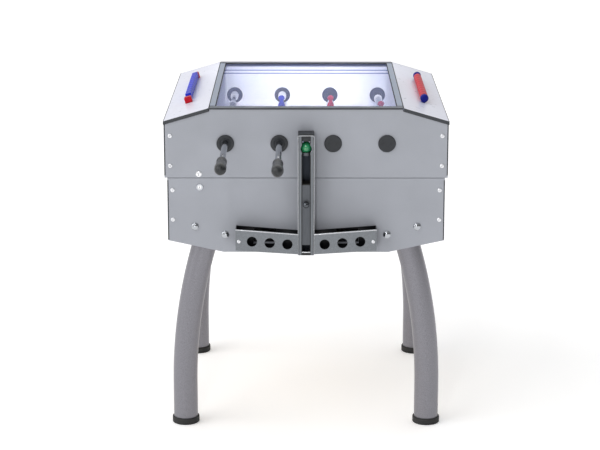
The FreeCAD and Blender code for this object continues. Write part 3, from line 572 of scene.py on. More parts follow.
FINISHES = {
    "laminate": ("grey_pressed_laminate", pressed_laminate, {}),
    "deck": ("pale_melamine", melamine, {}),
    "pitch": ("white_melamine", melamine, {}),
    "edging": ("dark_abs_edging", abs_edging, {}),
    "marking": ("pitch_line_ink", printed_ink, {}),
    "glass": ("toughened_glass", toughened_glass, {}),
    "trim": ("two_tone_anodised_trim", two_tone_trim, {}),
    "channel": ("lined_anodised_channel", channel_painted_shade_inside, {}),
    "wall": ("edged_white_melamine", edged_melamine, {}),
    # Painted shade: the ball return board is coloured near-black.
    "stained": ("black_stained_board", birch_plywood, {}),
    # Painted highlight: a bright chrome finish on the rolled edges, lips and the cap's line.
    "painted_highlight_edge": ("bright_rolled_edge", chromed_steel, {"roughness": 0.22}),
    "slider": ("satin_slider", anodised_aluminium, {"along": (1.0, 1.0, 0.03)}),
    "tray": ("lined_tray_coat", lined_tray_coat, {}),
    "leg": ("metallic_leg_coat", hammer_coat,
            {"grain_size": 1.5 * MM, "flecks": 12.0, "metallic": 0.75}),
    "nylon_black": ("black_moulded_nylon", moulded_nylon, {}),
    "grip": ("polished_grip", polished_grip, {}),
    "flange": ("inner_flange_nylon", moulded_nylon, {}),
    "nylon_white": ("white_nylon", moulded_nylon, {"roughness": 0.36}),
    "chrome": ("chromed_steel", chromed_steel, {}),
    "knob": ("dark_chrome", chromed_steel, {"roughness": 0.12}),
    "zinc": ("bright_zinc", zinc_plate, {}),
    "blue": ("blue_glossy_abs", glossy_abs, {}),
    "red": ("red_glossy_abs", glossy_abs, {}),
    "block": ("dark_red_abs", glossy_abs, {}),
    "cap_blue": ("dark_blue_abs", glossy_abs, {}),
    "ball": ("green_acrylic", cast_acrylic, {}),
    "board": ("birch_plywood", birch_plywood, {}),
    "rubber": ("black_rubber", rubber, {}),
}


def finish(key):
    """The finished material for a colour of the table, made once."""
    name, maker, settings = FINISHES[key]
    colour = tuple(getattr(bpy.context.scene.foosball_colours, key))
    return bpy.data.materials.get(name) or maker(name, colour, **settings)


# --- Settings --------------------------------------------------------------------------------

def paint(name, about, code):
    return bpy.props.FloatVectorProperty(name=name, description=about, subtype="COLOR",
                                         default=srgb(code), min=0.0, max=1.0)


def length(name, about, millimetres):
    return bpy.props.FloatProperty(name=name, description=about, unit="LENGTH", precision=4,
                                   default=millimetres * MM)


def turn(name, about, degrees):
    return bpy.props.FloatProperty(name=name, description=about, subtype="ANGLE",
                                   default=math.radians(degrees))


def level(name, about, value):
    return bpy.props.FloatProperty(name=name, description=about, default=value)


class FoosballColours(bpy.types.PropertyGroup):
    """Colours of the table's materials"""
    laminate: paint("Grey laminate", "Cabinet panels", "A0A3AB")
    deck: paint("Pale laminate", "Sloping end decks", "E4E6F4")
    pitch: paint("Pitch", "Pitch board", "F4F6FF")
    wall: paint("Pitch walls", "White walls round the pitch", "F4F6FF")
    # This board colour is painted shade: near-black, for the dark inside of the cabinet behind the
    # tray holes.
    stained: paint("Stained board", "Ball return inside the cabinet", "15161A")
    edging: paint("Edging", "Banding along the edges of panels and decks", "303338")
    marking: paint("Pitch lines", "Lines printed on the pitch", "5A6A96")
    # The glass colour is a painted reflection of the bright room, laid over the view at low alpha.
    glass: paint("Glass", "Glass over the pitch", "9FB2FF")
    trim: paint("Glass trim", "Trims and rails round the glass", "98A3B6")
    channel: paint("Channel", "Channel of the ball lift", "74787D")
    # The bright finish of rolled edges, lips and the cap's line is a painted highlight.
    painted_highlight_edge: paint("Rolled edge", "Bright rolled edges of trays and channel", "D4D6DA")
    slider: paint("Slider", "Slider of the ball lift", "585B60")
    tray: paint("Tray", "Face of the ball trays", "767A7F")
    leg: paint("Leg", "Metallic coat of the legs", "85848A")
    nylon_black: paint("Black nylon", "Bearings and caps", "202328")
    grip: paint("Grip", "Handles", "1E2023")
    flange: paint("Inner flange", "Rings inside the pitch walls", "161A2B")
    nylon_white: paint("White nylon", "Bumpers and stops", "ECEEF2")
    chrome: paint("Chrome", "Rods and dome bolts", "B4B7BC")
    knob: paint("Lift knob", "Knob of the ball lift", "5A5D62")
    zinc: paint("Zinc", "Screws and brackets", "EEEFF2")
    blue: paint("Blue", "Blue figures and beads", "2536C8")
    red: paint("Red", "Red figures and beads", "C01E30")
    block: paint("Counter block", "End blocks of the left counter", "C01C2C")
    cap_blue: paint("Counter knob", "End knobs of the right counter", "1A2080")
    ball: paint("Ball", "Acrylic ball", "329A66")
    board: paint("Board", "Plywood inside the cabinet", "C9AE86")
    rubber: paint("Rubber", "Ball seat, shelf pad and foot caps", "1C1D20")


class FoosballSizes(bpy.types.PropertyGroup):
    """Sizes of the finishing detail that the engineering model leaves plain"""
    edge_band: length("Edge band", "Width of the banding on the panels' upright edges", 3.0)
    lip: length("Tray lip", "Radius of the rolled lip along a tray's top edge", 1.7)
    head: length("Head", "Height of a figure's head", 17.0)
    line: length("Line", "Width of the lines on the pitch", 3.0)
    leg_straight: length("Straight foot", "Height at which a leg starts to bend", 115.0)
    leg_bend: length("Leg bend", "Radius of the legs' bend", 1400.0)
    leg_wall: length("Leg wall", "Wall of the leg tubes", 3.0)
    left_tilt: turn("Left goalkeeper", "Lean of the left goalkeeper's rod at rest", -25.0)


class FoosballStage(bpy.types.PropertyGroup):
    """Camera and lights"""
    distance: length("Distance", "Camera distance in front of the table's middle", 5503.5)
    height: length("Height", "Camera height over the floor", 1863.1)
    side: length("Side", "Camera place across the table's middle", -2.04)
    tilt: turn("Tilt", "How far the camera looks down", 14.07)
    swing: turn("Swing", "How far the camera looks to the left", 0.16)
    lens: level("Lens", "Focal length in millimetres", 117.4)
    key: level("Key light", "Strength of the key light", 1.05)
    strip: level("Strip light", "Watts of the strip", 20.0)
    beam: level("Pitch beam", "Watts of the beam on the pitch", 0.42)
    bright: level("Bright side", "Surround at back and left", 0.86)
    dim: level("Dim side", "Surround at front and right", 0.26)
    glow: level("Floor glow", "Light from within the floor", 0.3)


# --- Cabinet ---------------------------------------------------------------------------------

class FOOSBALL_OT_cabinet(bpy.types.Operator):
    """Laminate on the cabinet panels, and dark banding on their upright edges"""
    bl_idname = "foosball.cabinet"
    bl_label = "Cabinet"

    def execute(self, context):
        band = context.scene.foosball_sizes.edge_band
        proud, board = 0.3 * MM, 18 * MM
        below_top, above_bottom = 5 * MM, 6 * MM
        for level in ("upper", "lower"):
            sides = ["front_%s_panel" % level, "rear_%s_panel" % level]
            ends = ["left_%s_end_panel" % level, "right_%s_end_panel" % level]
            finish_nodes("laminate", *sides, *ends)
            panel_low, panel_high = low(sides[0]), high(sides[0])
            top = min(panel_high[2], high(ends[1])[2]) - below_top
            bottom = max(panel_low[2], low(ends[1])[2] + above_bottom)
            face = panel_high[0]
            start = (face - band, panel_low[1] - proud, bottom)
            end = (face + proud, panel_low[1] + board, top)
            piece("%s_corner_bands" % level, corners(slab(start, end)), "edging")
        finish_nodes("board", "bottom_board")
        # Painted shade: the ball return is painted near-black, for the dark inside of the cabinet.
        finish_nodes("stained", "return_ramps")
        finish_nodes("deck", "end_decks")
        finish_nodes("edging", "top_edge_bands")
        return {"FINISHED"}


class FOOSBALL_OT_pitch(bpy.types.Operator):
    """Pitch board with printed lines, its white walls, the goals and the glass"""
    bl_idname = "foosball.pitch"
    bl_label = "Pitch"

    def execute(self, context):
        finish_nodes("pitch", "pitch_board", "goal_walls")
        finish_nodes("wall", "pitch_side_walls")
        finish_nodes("nylon_black", "goal_boxes")
        finish_nodes("glass", "glass_pane")
        finish_nodes("trim", "glass_frame")
        self.print_lines(context.scene.foosball_sizes.line / 2)
        self.seals()
        return {"FINISHED"}

    def seals(self):
        """Dark rubber seals: where each rail meets the glass and the deck, and along the trims."""
        glass = high("glass_pane")[2]
        outer, end, top = high("glass_frame")
        rail = max(solids("glass_frame"), key=lambda pair: pair[0][0])
        inner = rail[0][0]
        seal_top = top - 0.6 * MM
        at_end = 2 * MM
        strips = []
        for x0, x1, z0, z1 in ((inner - 2.2 * MM, inner + 0.4 * MM, glass, seal_top),
                               (outer - 1.6 * MM, outer + 0.8 * MM, top - 1.0 * MM,
                                top + 0.25 * MM)):
            strip = slab((x0, -end + at_end, z0), (x1, end - at_end, z1))
            strips += [strip, mirrored(strip, "X")]
        y = rail[1][1] + 6 * MM
        strip = slab((-inner, y - 2.4 * MM, glass), (inner, y + 0.2 * MM, seal_top))
        strips += [strip, mirrored(strip, "Y")]
        piece("glass_seals", strips, "rubber")

    def print_lines(self, half):
        """Halfway line, centre circle and spot, a box before each goal, and two lines along the
        side walls. Half is half a line's width."""
        floor = high("pitch_board")[2]
        ink = floor + 0.15 * MM
        wall_x = np.abs(np.array(solids("goal_walls")[0])[:, 0]).min()
        wall_y = np.abs(np.array(solids("pitch_side_walls"))[:, :, 1]).min()
        box_depth, area_y, circle, spot = 95 * MM, 150 * MM, 62 * MM, 3 * half
        area_x = wall_x - box_depth
        lines = [slab((-half, -wall_y, floor), (half, wall_y, ink), half / 4)]
        for x in (area_x, -area_x):
            lines.append(slab((x - half, -area_y, floor), (x + half, area_y, ink), half / 4))
            for y in (-area_y, area_y):
                start, end = sorted((x, math.copysign(wall_x, x)))
                lines.append(slab((start, y - half, floor), (end, y + half, ink), half / 4))
        lines.append(lathe([(circle - half, floor), (circle - half, ink), (circle + half, ink),
                            (circle + half, floor)], (0, 0, 0), "Z", 96, ring=True))
        lines.append(lathe([(0, floor), (spot, floor), (spot, ink), (0, ink)], (0, 0, 0), "Z"))
        for drop in (13 * MM, 22.4 * MM):
            z = high("pitch_side_walls")[2] - drop
            line = slab((-wall_x, wall_y - 0.2 * MM, z - half),
                        (wall_x, wall_y + 0.1 * MM, z + half), half / 8)
            lines += [line, mirrored(line, "Y")]
        piece("pitch_lines", lines, "marking")


# --- Rods ------------------------------------------------------------------------------------

def rod_places():
    """Rod number, X and Z of its axis, and the side of its handle: -1 front, 1 rear."""
    for rod in RODS:
        middle = (low("rod_%d_spindle" % rod) + high("rod_%d_spindle" % rod)) / 2
        side = 1 if low("rod_%d_handle" % rod)[1] > 0 else -1
        yield rod, middle[0], middle[2], side


class FOOSBALL_OT_bearings(bpy.types.Operator):
    """Bearing flanges with rounded rims and a sunk bore, inner flanges and stop sleeves"""
    bl_idname = "foosball.bearings"
    bl_label = "Bearings"

    def execute(self, context):
        finish_nodes("nylon_black", "closed_bearings")
        self.open_bearings()
        self.rings("inner_wall_rings", "inner_flanges", 12.06 * MM, 1.2 * MM, "flange",
                   "black_plastic")
        self.rings("stop_sleeves", "travel_stops", 5.6 * MM, 1.4 * MM, "nylon_white",
                   "white_nylon")
        return {"FINISHED"}

    def open_bearings(self):
        """Sleeve from the inner flange to the panel, and a flange on the panel with a step down
        to the bore."""
        face = high("open_bearings")[1]
        panel = high("rear_upper_panel")[1]
        inner = np.abs(np.array(solids("inner_flanges")[0])[:, 1]).min()
        _, rim = middle_and_radius(*solids("open_bearings")[0])
        sleeve, step = 12 * MM, face - 1.6 * MM
        bearings = []
        for rod, x, z, side in rod_places():
            _, tube_radius = middle_and_radius(low("rod_%d_tube" % rod), high("rod_%d_tube" % rod))
            bore = tube_radius + RUNNING_GAP
            outline = soften([(bore, inner), (sleeve, inner), (sleeve, panel), (rim, panel),
                              (rim, face - 0.4 * MM), (rim - 3 * MM, face), (15 * MM, face),
                              (12.6 * MM, step), (bore + 1.2 * MM, step),
                              (bore, face - 2.6 * MM)], 0.8 * MM)
            bearings.append(lathe(outline * (1, side), (x, 0, z), ring=True))
        piece("rod_bearings", bearings, "nylon_black", ["open_bearings"])

    def rings(self, name, node, bore, corner, coat, slot):
        """A ring with rounded corners in place of each solid of a node."""
        shapes = []
        for start, end in solids(node):
            middle, radius = middle_and_radius(start, end)
            outline = soften([(bore, start[1]), (radius, start[1]), (radius, end[1]),
                              (bore, end[1])], corner)
            shapes.append(lathe(outline, (middle[0], 0, middle[2]), ring=True))
        piece(name, shapes, coat, [node])


# Features of a head: strength, angle from the front, height as a share, half width, half height.
FEATURES = ((0.20, 0, 0.44, 0.12, 0.09), (0.06, 0, 0.14, 0.30, 0.07),
            (-0.06, 0.36, 0.54, 0.16, 0.05), (-0.06, -0.36, 0.54, 0.16, 0.05),
            (-0.04, 0, 0.27, 0.24, 0.025), (0.05, 0, 0.63, 0.60, 0.04),
            (0.10, 1.57, 0.48, 0.12, 0.10), (0.10, -1.57, 0.48, 0.12, 0.10))


def head(height):
    """Head above the origin facing +X: an egg, x = depth sin u cos t, y = width sin u sin t,
    z = height (1 - cos u) / 2, with nose, chin, eyes, mouth, brow and ears as bell curves about
    their places, and a hairline as a smooth step."""
    u = np.linspace(0, math.pi, 40)[:, None]
    t = np.linspace(-math.pi, math.pi, 56, endpoint=False)[None, :]
    level = (1 - np.cos(u)) / 2
    swell = 1.0 + 0.10 * level
    r = 1.0
    for strength, turn_by, place, wide, tall in FEATURES:
        r = r + strength * np.exp(-((t - turn_by) / wide) ** 2 - ((level - place) / tall) ** 2)
    hair = 1 / (1 + np.exp(-(level - 0.68 + 0.22 * (1 - np.cos(t)) / 2) / 0.015))
    r = r + 0.05 * hair
    points = np.stack([0.50 * height * np.sin(u) * np.cos(t) * r * swell,
                       0.42 * height * np.sin(u) * np.sin(t) * r * swell,
                       height * level + 0 * t], -1)
    return grid(points)


def player(head_height):
    """Player upright about a rod along Y at the origin, facing +X: superellipse sections
    |x / depth|^n + |y / width|^n = 1 stacked up the body, with a groove between the legs, a hub
    round the rod, and arms that bow out by a half sine."""
    rows = eased(PLAYER, 96)
    z, wide, deep, power, groove = (rows[:, i:i + 1] for i in range(5))
    t = np.linspace(0, 2 * math.pi, SEGMENTS, endpoint=False)[None, :]
    x = deep * np.sign(np.cos(t)) * np.abs(np.cos(t)) ** (2 / power)
    y = wide * np.sign(np.sin(t)) * np.abs(np.sin(t)) ** (2 / power)
    x = x * (1 - groove * np.exp(-(y / 1.6) ** 2))
    body = np.stack([x, y, z + 0 * t], -1) * MM
    ends = np.zeros((2, 1, 3)) + body[[0, -1]].mean(1, keepdims=True)
    body = np.vstack([np.repeat(ends[:1], SEGMENTS, 1), body, np.repeat(ends[1:], SEGMENTS, 1)])
    shoulder = 18 * MM
    hub = soften([(0, -13.0), (9.8, -13.0), (9.8, 13.0), (0, 13.0)], 1.0, closed=False) * MM
    s = np.linspace(0, 1, 16)[:, None]
    bow = np.sin(math.pi * s)
    arm = np.hstack([1.5 * bow, 10.0 + 0.9 * bow, 13.0 - 27.0 * s]) * MM
    taper = np.sqrt(np.clip(np.sin(math.pi * (0.06 + 0.88 * s)), 0, 1))
    arm = tube(arm, (2.7 - 0.7 * s) * taper * MM, (1, 0, 0), 20)
    return joined([grid(body), shifted(head(head_height), (0, 0, shoulder)),
                   lathe(hub, (0, 0, 0)), arm, mirrored(arm, "Y")])


class FOOSBALL_OT_rods(bpy.types.Operator):
    """Chromed tubes and spindles, soft bumpers, players and grips"""
    bl_idname = "foosball.rods"
    bl_label = "Rods"

    def execute(self, context):
        sizes = context.scene.foosball_sizes
        man = player(sizes.head)
        tube_wall = 2.4 * MM
        for rod, x, z, side in rod_places():
            name = "rod_%d" % rod
            start, end = low(name + "_tube"), high(name + "_tube")
            _, radius = middle_and_radius(start, end)
            wall = [(radius, start[1]), (radius, end[1]), (radius - tube_wall, end[1]),
                    (radius - tube_wall, start[1])]
            piece(name + "_chrome_tube", lathe(soften(wall, 0.3 * MM, 2), (x, 0, z), ring=True),
                  "chrome", [name + "_tube"], name)
            finish_nodes("chrome", name + "_spindle")

            front = min(abs(low(name + "_handle")[1]), abs(high(name + "_handle")[1]))
            profile = np.vstack([[(0, 0)], np.array(GRIP) * MM]) * (1, side) + (0, side * front)
            fine = np.vstack([profile[:1], soften(profile[1:], 4 * MM, 3, closed=False)])
            piece(name + "_grip", lathe(fine, (x, 0, z)), "grip",
                  [name + "_handle"], name, 60.0)

            rings = [self.bumper(radius, *pair, (x, 0, z)) for pair in solids(name + "_bumpers")]
            piece(name + "_bumper_rings", rings, "nylon_white",
                  [name + "_bumpers"], name)

            facing = man if x < 0 else (man[0] * (-1, 1, 1), man[1])
            lean = sizes.left_tilt if rod == 1 else 0.0
            men = []
            for start, end in solids(name + "_figures"):
                place = (x, (start[1] + end[1]) / 2, z)
                men.append(shifted(turned(facing, (0, 0, 0), "Y", lean), place))
            colour, slot = ("blue", "blue_plastic") if x < 0 else ("red", "red_plastic")
            piece(name + "_players", men, colour, [name + "_figures"], name, 50.0)
        return {"FINISHED"}

    def bumper(self, bore, start, end, centre):
        """Rounded ring with a shallow groove round its middle."""
        outer = (end[2] - start[2]) / 2
        middle = (start[1] + end[1]) / 2
        groove, half = 0.8 * MM, 1 * MM
        outline = soften([(bore, start[1]), (outer, start[1]), (outer, middle - half),
                          (outer - groove, middle), (outer, middle + half), (outer, end[1]),
                          (bore, end[1])], 1.6 * MM)
        return lathe(outline, centre, ring=True)


# --- Ball lift -------------------------------------------------------------------------------

class FOOSBALL_OT_lift(bpy.types.Operator):
    """Ball lift: channel whose rolled edges are bright as painted highlights and whose dark strips
    are painted shade, cap, slider, knob, seat and ball"""
    bl_idname = "foosball.lift"
    bl_label = "Ball lift"

    def execute(self, context):
        finish_nodes("channel", "lift_channel")
        finish_nodes("slider", "lift_slider", "ball_seat")
        self.channel_edges()
        self.cap()
        self.knob_and_pad()
        middle, radius = middle_and_radius(low("ball"), high("ball"))
        t = np.linspace(0, math.pi, 33)
        profile = np.stack([radius * np.sin(t), -radius * np.cos(t)], -1)
        piece("ball_polished", lathe(profile, middle), "ball", ["ball"], "ball")
        return {"FINISHED"}

    def channel_edges(self):
        """Rolled outer corners and the foot's lip, bright as painted highlights; dark strips of
        painted shade beside the corners, below the lip, and along the slot edges, stopping at the
        ball window."""
        start, end = low("lift_channel"), high("lift_channel")
        front, half, bottom, top = start[1], end[0], start[2] + 0.2 * MM, end[2] - 1 * MM
        window = (low("ball")[2] + high("ball")[2]) / 2
        window_reach, lip_reach, lip = 15.4 * MM, 11.4 * MM, 1.9 * MM
        rolled = 0.7 * MM
        bright, dark = [], []
        for side in (-1, 1):
            # Painted highlight: a bright strip on each outer corner.
            bright.append(lathe([(0, start[2]), (rolled, start[2]), (rolled, end[2]), (0, end[2])],
                                (side * (half - 0.5 * MM), front + 0.5 * MM, 0), "Z", 16))
            # Painted shade: a dark strip beside each corner and along each slot edge.
            line = side * (half - 2.6 * MM)
            dark.append(slab((line - 0.7 * MM, front - 0.25 * MM, start[2]),
                             (line + 0.7 * MM, front + 0.4 * MM, top)))
            slot_shade_line = side * 11.5 * MM
            for z0, z1 in ((bottom, window - window_reach), (window + window_reach, top)):
                dark.append(slab((slot_shade_line - 1.0 * MM, front - 0.25 * MM, z0),
                                 (slot_shade_line + 1.0 * MM, front + 2.6 * MM, z1)))
        z = start[2] + 8.4 * MM
        path = np.linspace((-lip_reach, front + 1 * MM, z), (lip_reach, front + 1 * MM, z), 12)
        # Painted highlight on the foot's lip, and painted shade in the dark slab under it.
        bright.append(tube(path, lip, (0, 1, 0), 20))
        dark.append(slab((-lip_reach, front - 0.3 * MM, bottom),
                         (lip_reach, front + 1.2 * MM, z - lip)))
        piece("channel_rolled_edges", bright, "painted_highlight_edge")
        piece("channel_slot_guides", dark, "rubber")

    def cap(self):
        """Cap with round shoulders, a plug in the channel whose front tongue closes the top of the
        slot, and a painted highlight: a bright line along its lower front edge."""
        start, end = low("lift_cap"), high("lift_cap")
        rim = high("lift_channel")[2]
        outline = soften([(start[0], rim), (end[0], rim), (end[0], end[2]), (start[0], end[2])],
                         4 * MM, 8)
        lid = prism(outline, start[1], end[1], "Y", 1.0 * MM)
        inner, sheet = end[0] - 3 * MM, 2.8 * MM
        plug = slab((-inner, start[1] + sheet, start[2]), (inner, end[1] - sheet, rim + 1 * MM))
        tongue = slab((-inner, start[1] + sheet, rim - 15 * MM),
                      (inner, start[1] + sheet + 1.6 * MM, start[2] + 1 * MM))
        piece("lift_top_cap", [lid, plug, tongue], "nylon_black", ["lift_cap"],
              sharp=30.0)
        # Painted highlight: a bright strip along the lower front edge of the black cap.
        line = slab((start[0] + 1.5 * MM, start[1] - 0.15 * MM, rim + 0.1 * MM),
                    (end[0] - 1.5 * MM, start[1] + 0.4 * MM, rim + 1.4 * MM), 0.15 * MM)
        piece("cap_bright_line", line, "painted_highlight_edge")

    def knob_and_pad(self):
        """Ball knob on a collar and stem, and the rubber pad on the slider's shelf."""
        start, end = low("lift_knob"), high("lift_knob")
        middle, radius = middle_and_radius(start, end)
        t = np.linspace(0, math.radians(150), 24)
        profile = np.stack([radius * np.sin(t), start[1] + radius * (1 - np.cos(t))], -1)
        collar, shank, neck = 4.6 * MM, 2.4 * MM, start[1] + 2.2 * radius
        stem = [(collar, neck - 2.4 * MM), (collar, neck), (shank, neck), (shank, end[1]),
                (0, end[1])]
        knob = lathe(np.vstack([profile, stem]), (middle[0], 0, middle[2]))
        piece("lift_ball_knob", knob, "knob", ["lift_knob"], "lift")
        start, end = low("lift_slider"), high("lift_slider")
        pad = slab((start[0], start[1] - 0.1 * MM, end[2] - 2.8 * MM),
                   (end[0], end[1] - 1 * MM, end[2] + 0.2 * MM))
        piece("slider_shelf_pad", pad, "rubber", body="lift")


class FOOSBALL_OT_trays(bpy.types.Operator):
    """Ball trays, painted black inside as shade, with a rolled lip that is bright as a painted
    highlight
    """
    bl_idname = "foosball.trays"
    bl_label = "Ball trays"

    def execute(self, context):
        radius = context.scene.foosball_sizes.lip
        finish_nodes("tray", "left_ball_tray", "right_ball_tray")
        start, end = low("right_ball_tray"), high("right_ball_tray")
        points = mesh_points("right_ball_tray").reshape(-1, 3)
        front = points[points[:, 1] < start[1] + MM / 10]
        inner_top = front[front[:, 0] < start[0] + MM / 10][:, 2].max()
        outer_top = front[front[:, 0] > end[0] - MM / 10][:, 2].max()
        y = start[1] + radius * 0.8
        path = np.linspace((start[0], y, inner_top), (end[0], y, outer_top), 12)
        lip = tube(path, radius, (0, 1, 0), 20)
        # The lip's bright finish is a painted highlight.
        piece("tray_rolled_lips", [lip, mirrored(lip, "X")], "painted_highlight_edge")
        return {"FINISHED"}


# --- Legs ------------------------------------------------------------------------------------

class FOOSBALL_OT_legs(bpy.types.Operator):
    """Bent tube legs, grooved rubber foot caps, brackets and domed bolts"""
    bl_idname = "foosball.legs"
    bl_label = "Legs"

    def execute(self, context):
        foot = np.abs(foot_places()).max(0)
        radius = high("legs")[1] - foot[1]
        self.tubes(context.scene.foosball_sizes, foot, radius)
        self.caps(foot, radius)
        finish_nodes("zinc", "leg_brackets")
        self.bolts()
        return {"FINISHED"}

    def tubes(self, sizes, foot, radius):
        """Axis: straight up from the foot, then x = foot - bend (1 - cos a) and
        z = straight + bend sin a, up to the angle where the tube's end is reached."""
        last = math.asin((high("legs")[2] - sizes.leg_straight) / (sizes.leg_bend + radius))
        a = np.linspace(0, last, 60)
        bend = np.stack([foot[0] - sizes.leg_bend * (1 - np.cos(a)), foot[1] + 0 * a,
                         sizes.leg_straight + sizes.leg_bend * np.sin(a)], -1)
        z = np.linspace(low("legs")[2], sizes.leg_straight, 12)[:-1]
        straight = np.stack([foot[0] + 0 * z, foot[1] + 0 * z, z], -1)
        leg = tube(np.vstack([straight, bend]), radius, (0, 1, 0), 96, radius - sizes.leg_wall)
        piece("leg_tubes", corners(leg), "leg", ["legs"], sharp=60.0)

    def caps(self, foot, radius):
        """Cup round each leg's end, with a groove near its foot."""
        outer, top = high("leg_foot_caps")[1] - foot[1], high("leg_foot_caps")[2]
        sole = 6 * MM
        outline = soften([(radius, sole), (radius, top), (outer - 0.6 * MM, top),
                          (outer, top - 3 * MM), (outer, sole + 1 * MM), (outer - 1 * MM, sole),
                          (outer, sole - 1 * MM), (outer, 2 * MM), (outer - 2 * MM, 0), (0, 0)],
                         0.8 * MM, 3, closed=False)
        profile = np.vstack([[(0, sole)], outline])
        caps = [lathe(profile, (x, y, 0), "Z", 72) for x, y in foot_places()]
        piece("foot_caps", caps, "rubber", ["leg_foot_caps"])

    def bolts(self):
        """Domed head on a thin rim, shank and hexagon nut for each bolt."""
        rise, rim, edge = 6 * MM, 1 * MM, 0.6 * MM
        shank, nut, nut_depth = 4 * MM, 6.8 * MM, 5 * MM
        surfaces = []
        for start, end in solids("leg_bolts"):
            middle, radius = middle_and_radius(start, end)
            side = 1 if middle[1] > 0 else -1
            tip, face = sorted((abs(start[1]), abs(end[1])))
            t = np.linspace(0, math.pi / 2, 12)
            dome = np.stack([(radius - edge) * np.sin(t),
                             face - rise + rim + (rise - rim) * np.cos(t)], -1)
            panel, inside = face - rise, tip + nut_depth
            below = [(radius, panel + 0.8 * MM), (radius, panel), (shank, panel), (shank, inside),
                     (0, inside)]
            centre = (middle[0], 0, middle[2])
            surfaces.append(lathe(np.vstack([dome, below]) * (1, side), centre))
            hexagon = np.array([(0, tip), (nut - 0.4 * MM, tip), (nut, tip + 0.5 * MM),
                                (nut, inside), (0, inside)])
            surfaces.append(lathe(hexagon * (1, side), centre, segments=6))
        piece("domed_leg_bolts", surfaces, "chrome", ["leg_bolts"], sharp=30.0)


# --- Counters and fixings --------------------------------------------------------------------

class FOOSBALL_OT_counters(bpy.types.Operator):
    """Score counters: square blue beads between red blocks, ribbed red beads between knobs"""
    bl_idname = "foosball.counters"
    bl_label = "Score counters"

    def execute(self, context):
        tilt = deck_tilt()
        blue = solids("left_scorer_beads")
        (x, _, z), _ = middle_and_radius(*blue[0])
        half = 8.1 * MM
        square = soften([(-half, -half), (half, -half), (half, half), (-half, half)], 2.8 * MM, 5)
        beads = [turned(prism(square + (x, z), start[1], end[1], "Y", 1.3 * MM), (x, 0, z), "Y",
                        -tilt) for start, end in blue]
        piece("blue_square_beads", beads, "blue", ["left_scorer_beads"],
              "left_beads")
        beads = [self.ribbed_bead(start, end, (-x, 0, z))
                 for start, end in solids("right_scorer_beads")]
        piece("red_ribbed_beads", beads, "red", ["right_scorer_beads"],
              "right_beads")
        self.rails(x, z, tilt)
        return {"FINISHED"}

    def ribbed_bead(self, start, end, centre):
        """Barrel with rounded ends and a rib round its middle."""
        _, radius = middle_and_radius(start, end)
        y0, y1 = start[1], end[1]
        third = (y1 - y0) / 3
        rib, edge, round_end = 0.5 * MM, 1.6 * MM, 2 * MM
        outline = soften([(0, y0), (radius - edge, y0), (radius, y0 + round_end),
                          (radius - rib, y0 + third), (radius, y0 + third * 1.5),
                          (radius - rib, y0 + third * 2), (radius, y1 - round_end),
                          (radius - edge, y1), (0, y1)], 1.2 * MM, 3, closed=False)
        return lathe(outline, centre, segments=40)

    def rails(self, x, z, tilt):
        """Rods, red end blocks on the left and dark blue knobs on small feet on the right."""
        rails = mesh_points("scorer_rails").reshape(-1, 3)
        left, right = rails[rails[:, 0] < 0], rails[rails[:, 0] > 0]
        drop, wide, tall, long, slope = 12 * MM, 10 * MM, 5 * MM, 20 * MM, 2 * MM
        rod, rod_end = 3 * MM, 4 * MM
        rods, blocks, knobs = [], [], []
        for place, points in ((x, left), (-x, right)):
            y0, y1 = points[:, 1].min() + rod_end, points[:, 1].max() - rod_end
            rods.append(lathe([(0, y0), (rod, y0), (rod, y1), (0, y1)], (place, 0, z),
                              segments=24))
        outline = soften([(-wide, -drop), (wide, -drop), (wide, tall - slope),
                          (wide - slope, tall), (slope - wide, tall), (-wide, tall - slope)],
                         1.6 * MM, 4)
        for start in (left[:, 1].min(), left[:, 1].max() - long):
            block = prism(outline + (x, z), start, start + long, "Y", 1.6 * MM)
            blocks.append(turned(block, (x, 0, z), "Y", -tilt))
        thick, long, taper, end = 11.5 * MM, 22 * MM, 4 * MM, 5 * MM
        sole, waist = 6 * MM, 5 * MM
        for start in (right[:, 1].min(), right[:, 1].max() - long):
            stop = start + long
            barrel = soften([(0, start), (thick - taper, start), (thick, start + end),
                             (thick, stop - end), (thick - taper, stop), (0, stop)],
                            taper, 5, closed=False)
            knobs.append(lathe(barrel, (-x, 0, z)))
            foot = soften([(-sole, -drop), (sole, -drop), (waist, 0), (-waist, 0)], 1 * MM, 2)
            foot = prism(foot + (-x, z), start + end, stop - end, "Y", 1 * MM)
            knobs.append(turned(foot, (-x, 0, z), "Y", tilt))
        for name, shapes, coat in (("counter_rods", rods, "chrome"),
                                   ("counter_blocks", blocks, "block"),
                                   ("counter_knobs", knobs, "cap_blue")):
            piece(name, shapes, coat, ["scorer_rails"])


def crossed_screw(radius, tip, face, rise):
    """Pan-head screw along +Y: head height = rise (1 - 0.45 (r / radius)^4), sunk by a cross
    whose arms are where |sin 2t| is small, fading towards the rim."""
    t = np.linspace(0, 2 * math.pi, 32, endpoint=False)[None, :]
    r = np.linspace(0, 1, 8)[:, None]
    arms = np.exp(-(np.abs(np.sin(2 * t)) * r / 0.22) ** 2) / (1 + np.exp((r - 0.62) / 0.04))
    top = face + rise * (1 - 0.45 * r ** 4) - 0.7 * rise * arms
    rows = [np.stack([radius * r * np.cos(t), top, radius * r * np.sin(t)], -1)]
    shank = 0.45 * radius
    for ring, y in ((radius, face), (shank, face), (shank, tip + radius), (0.0, tip)):
        rows.append(np.stack([ring * np.cos(t), y + 0 * t, ring * np.sin(t)], -1))
    return grid(np.vstack(rows))


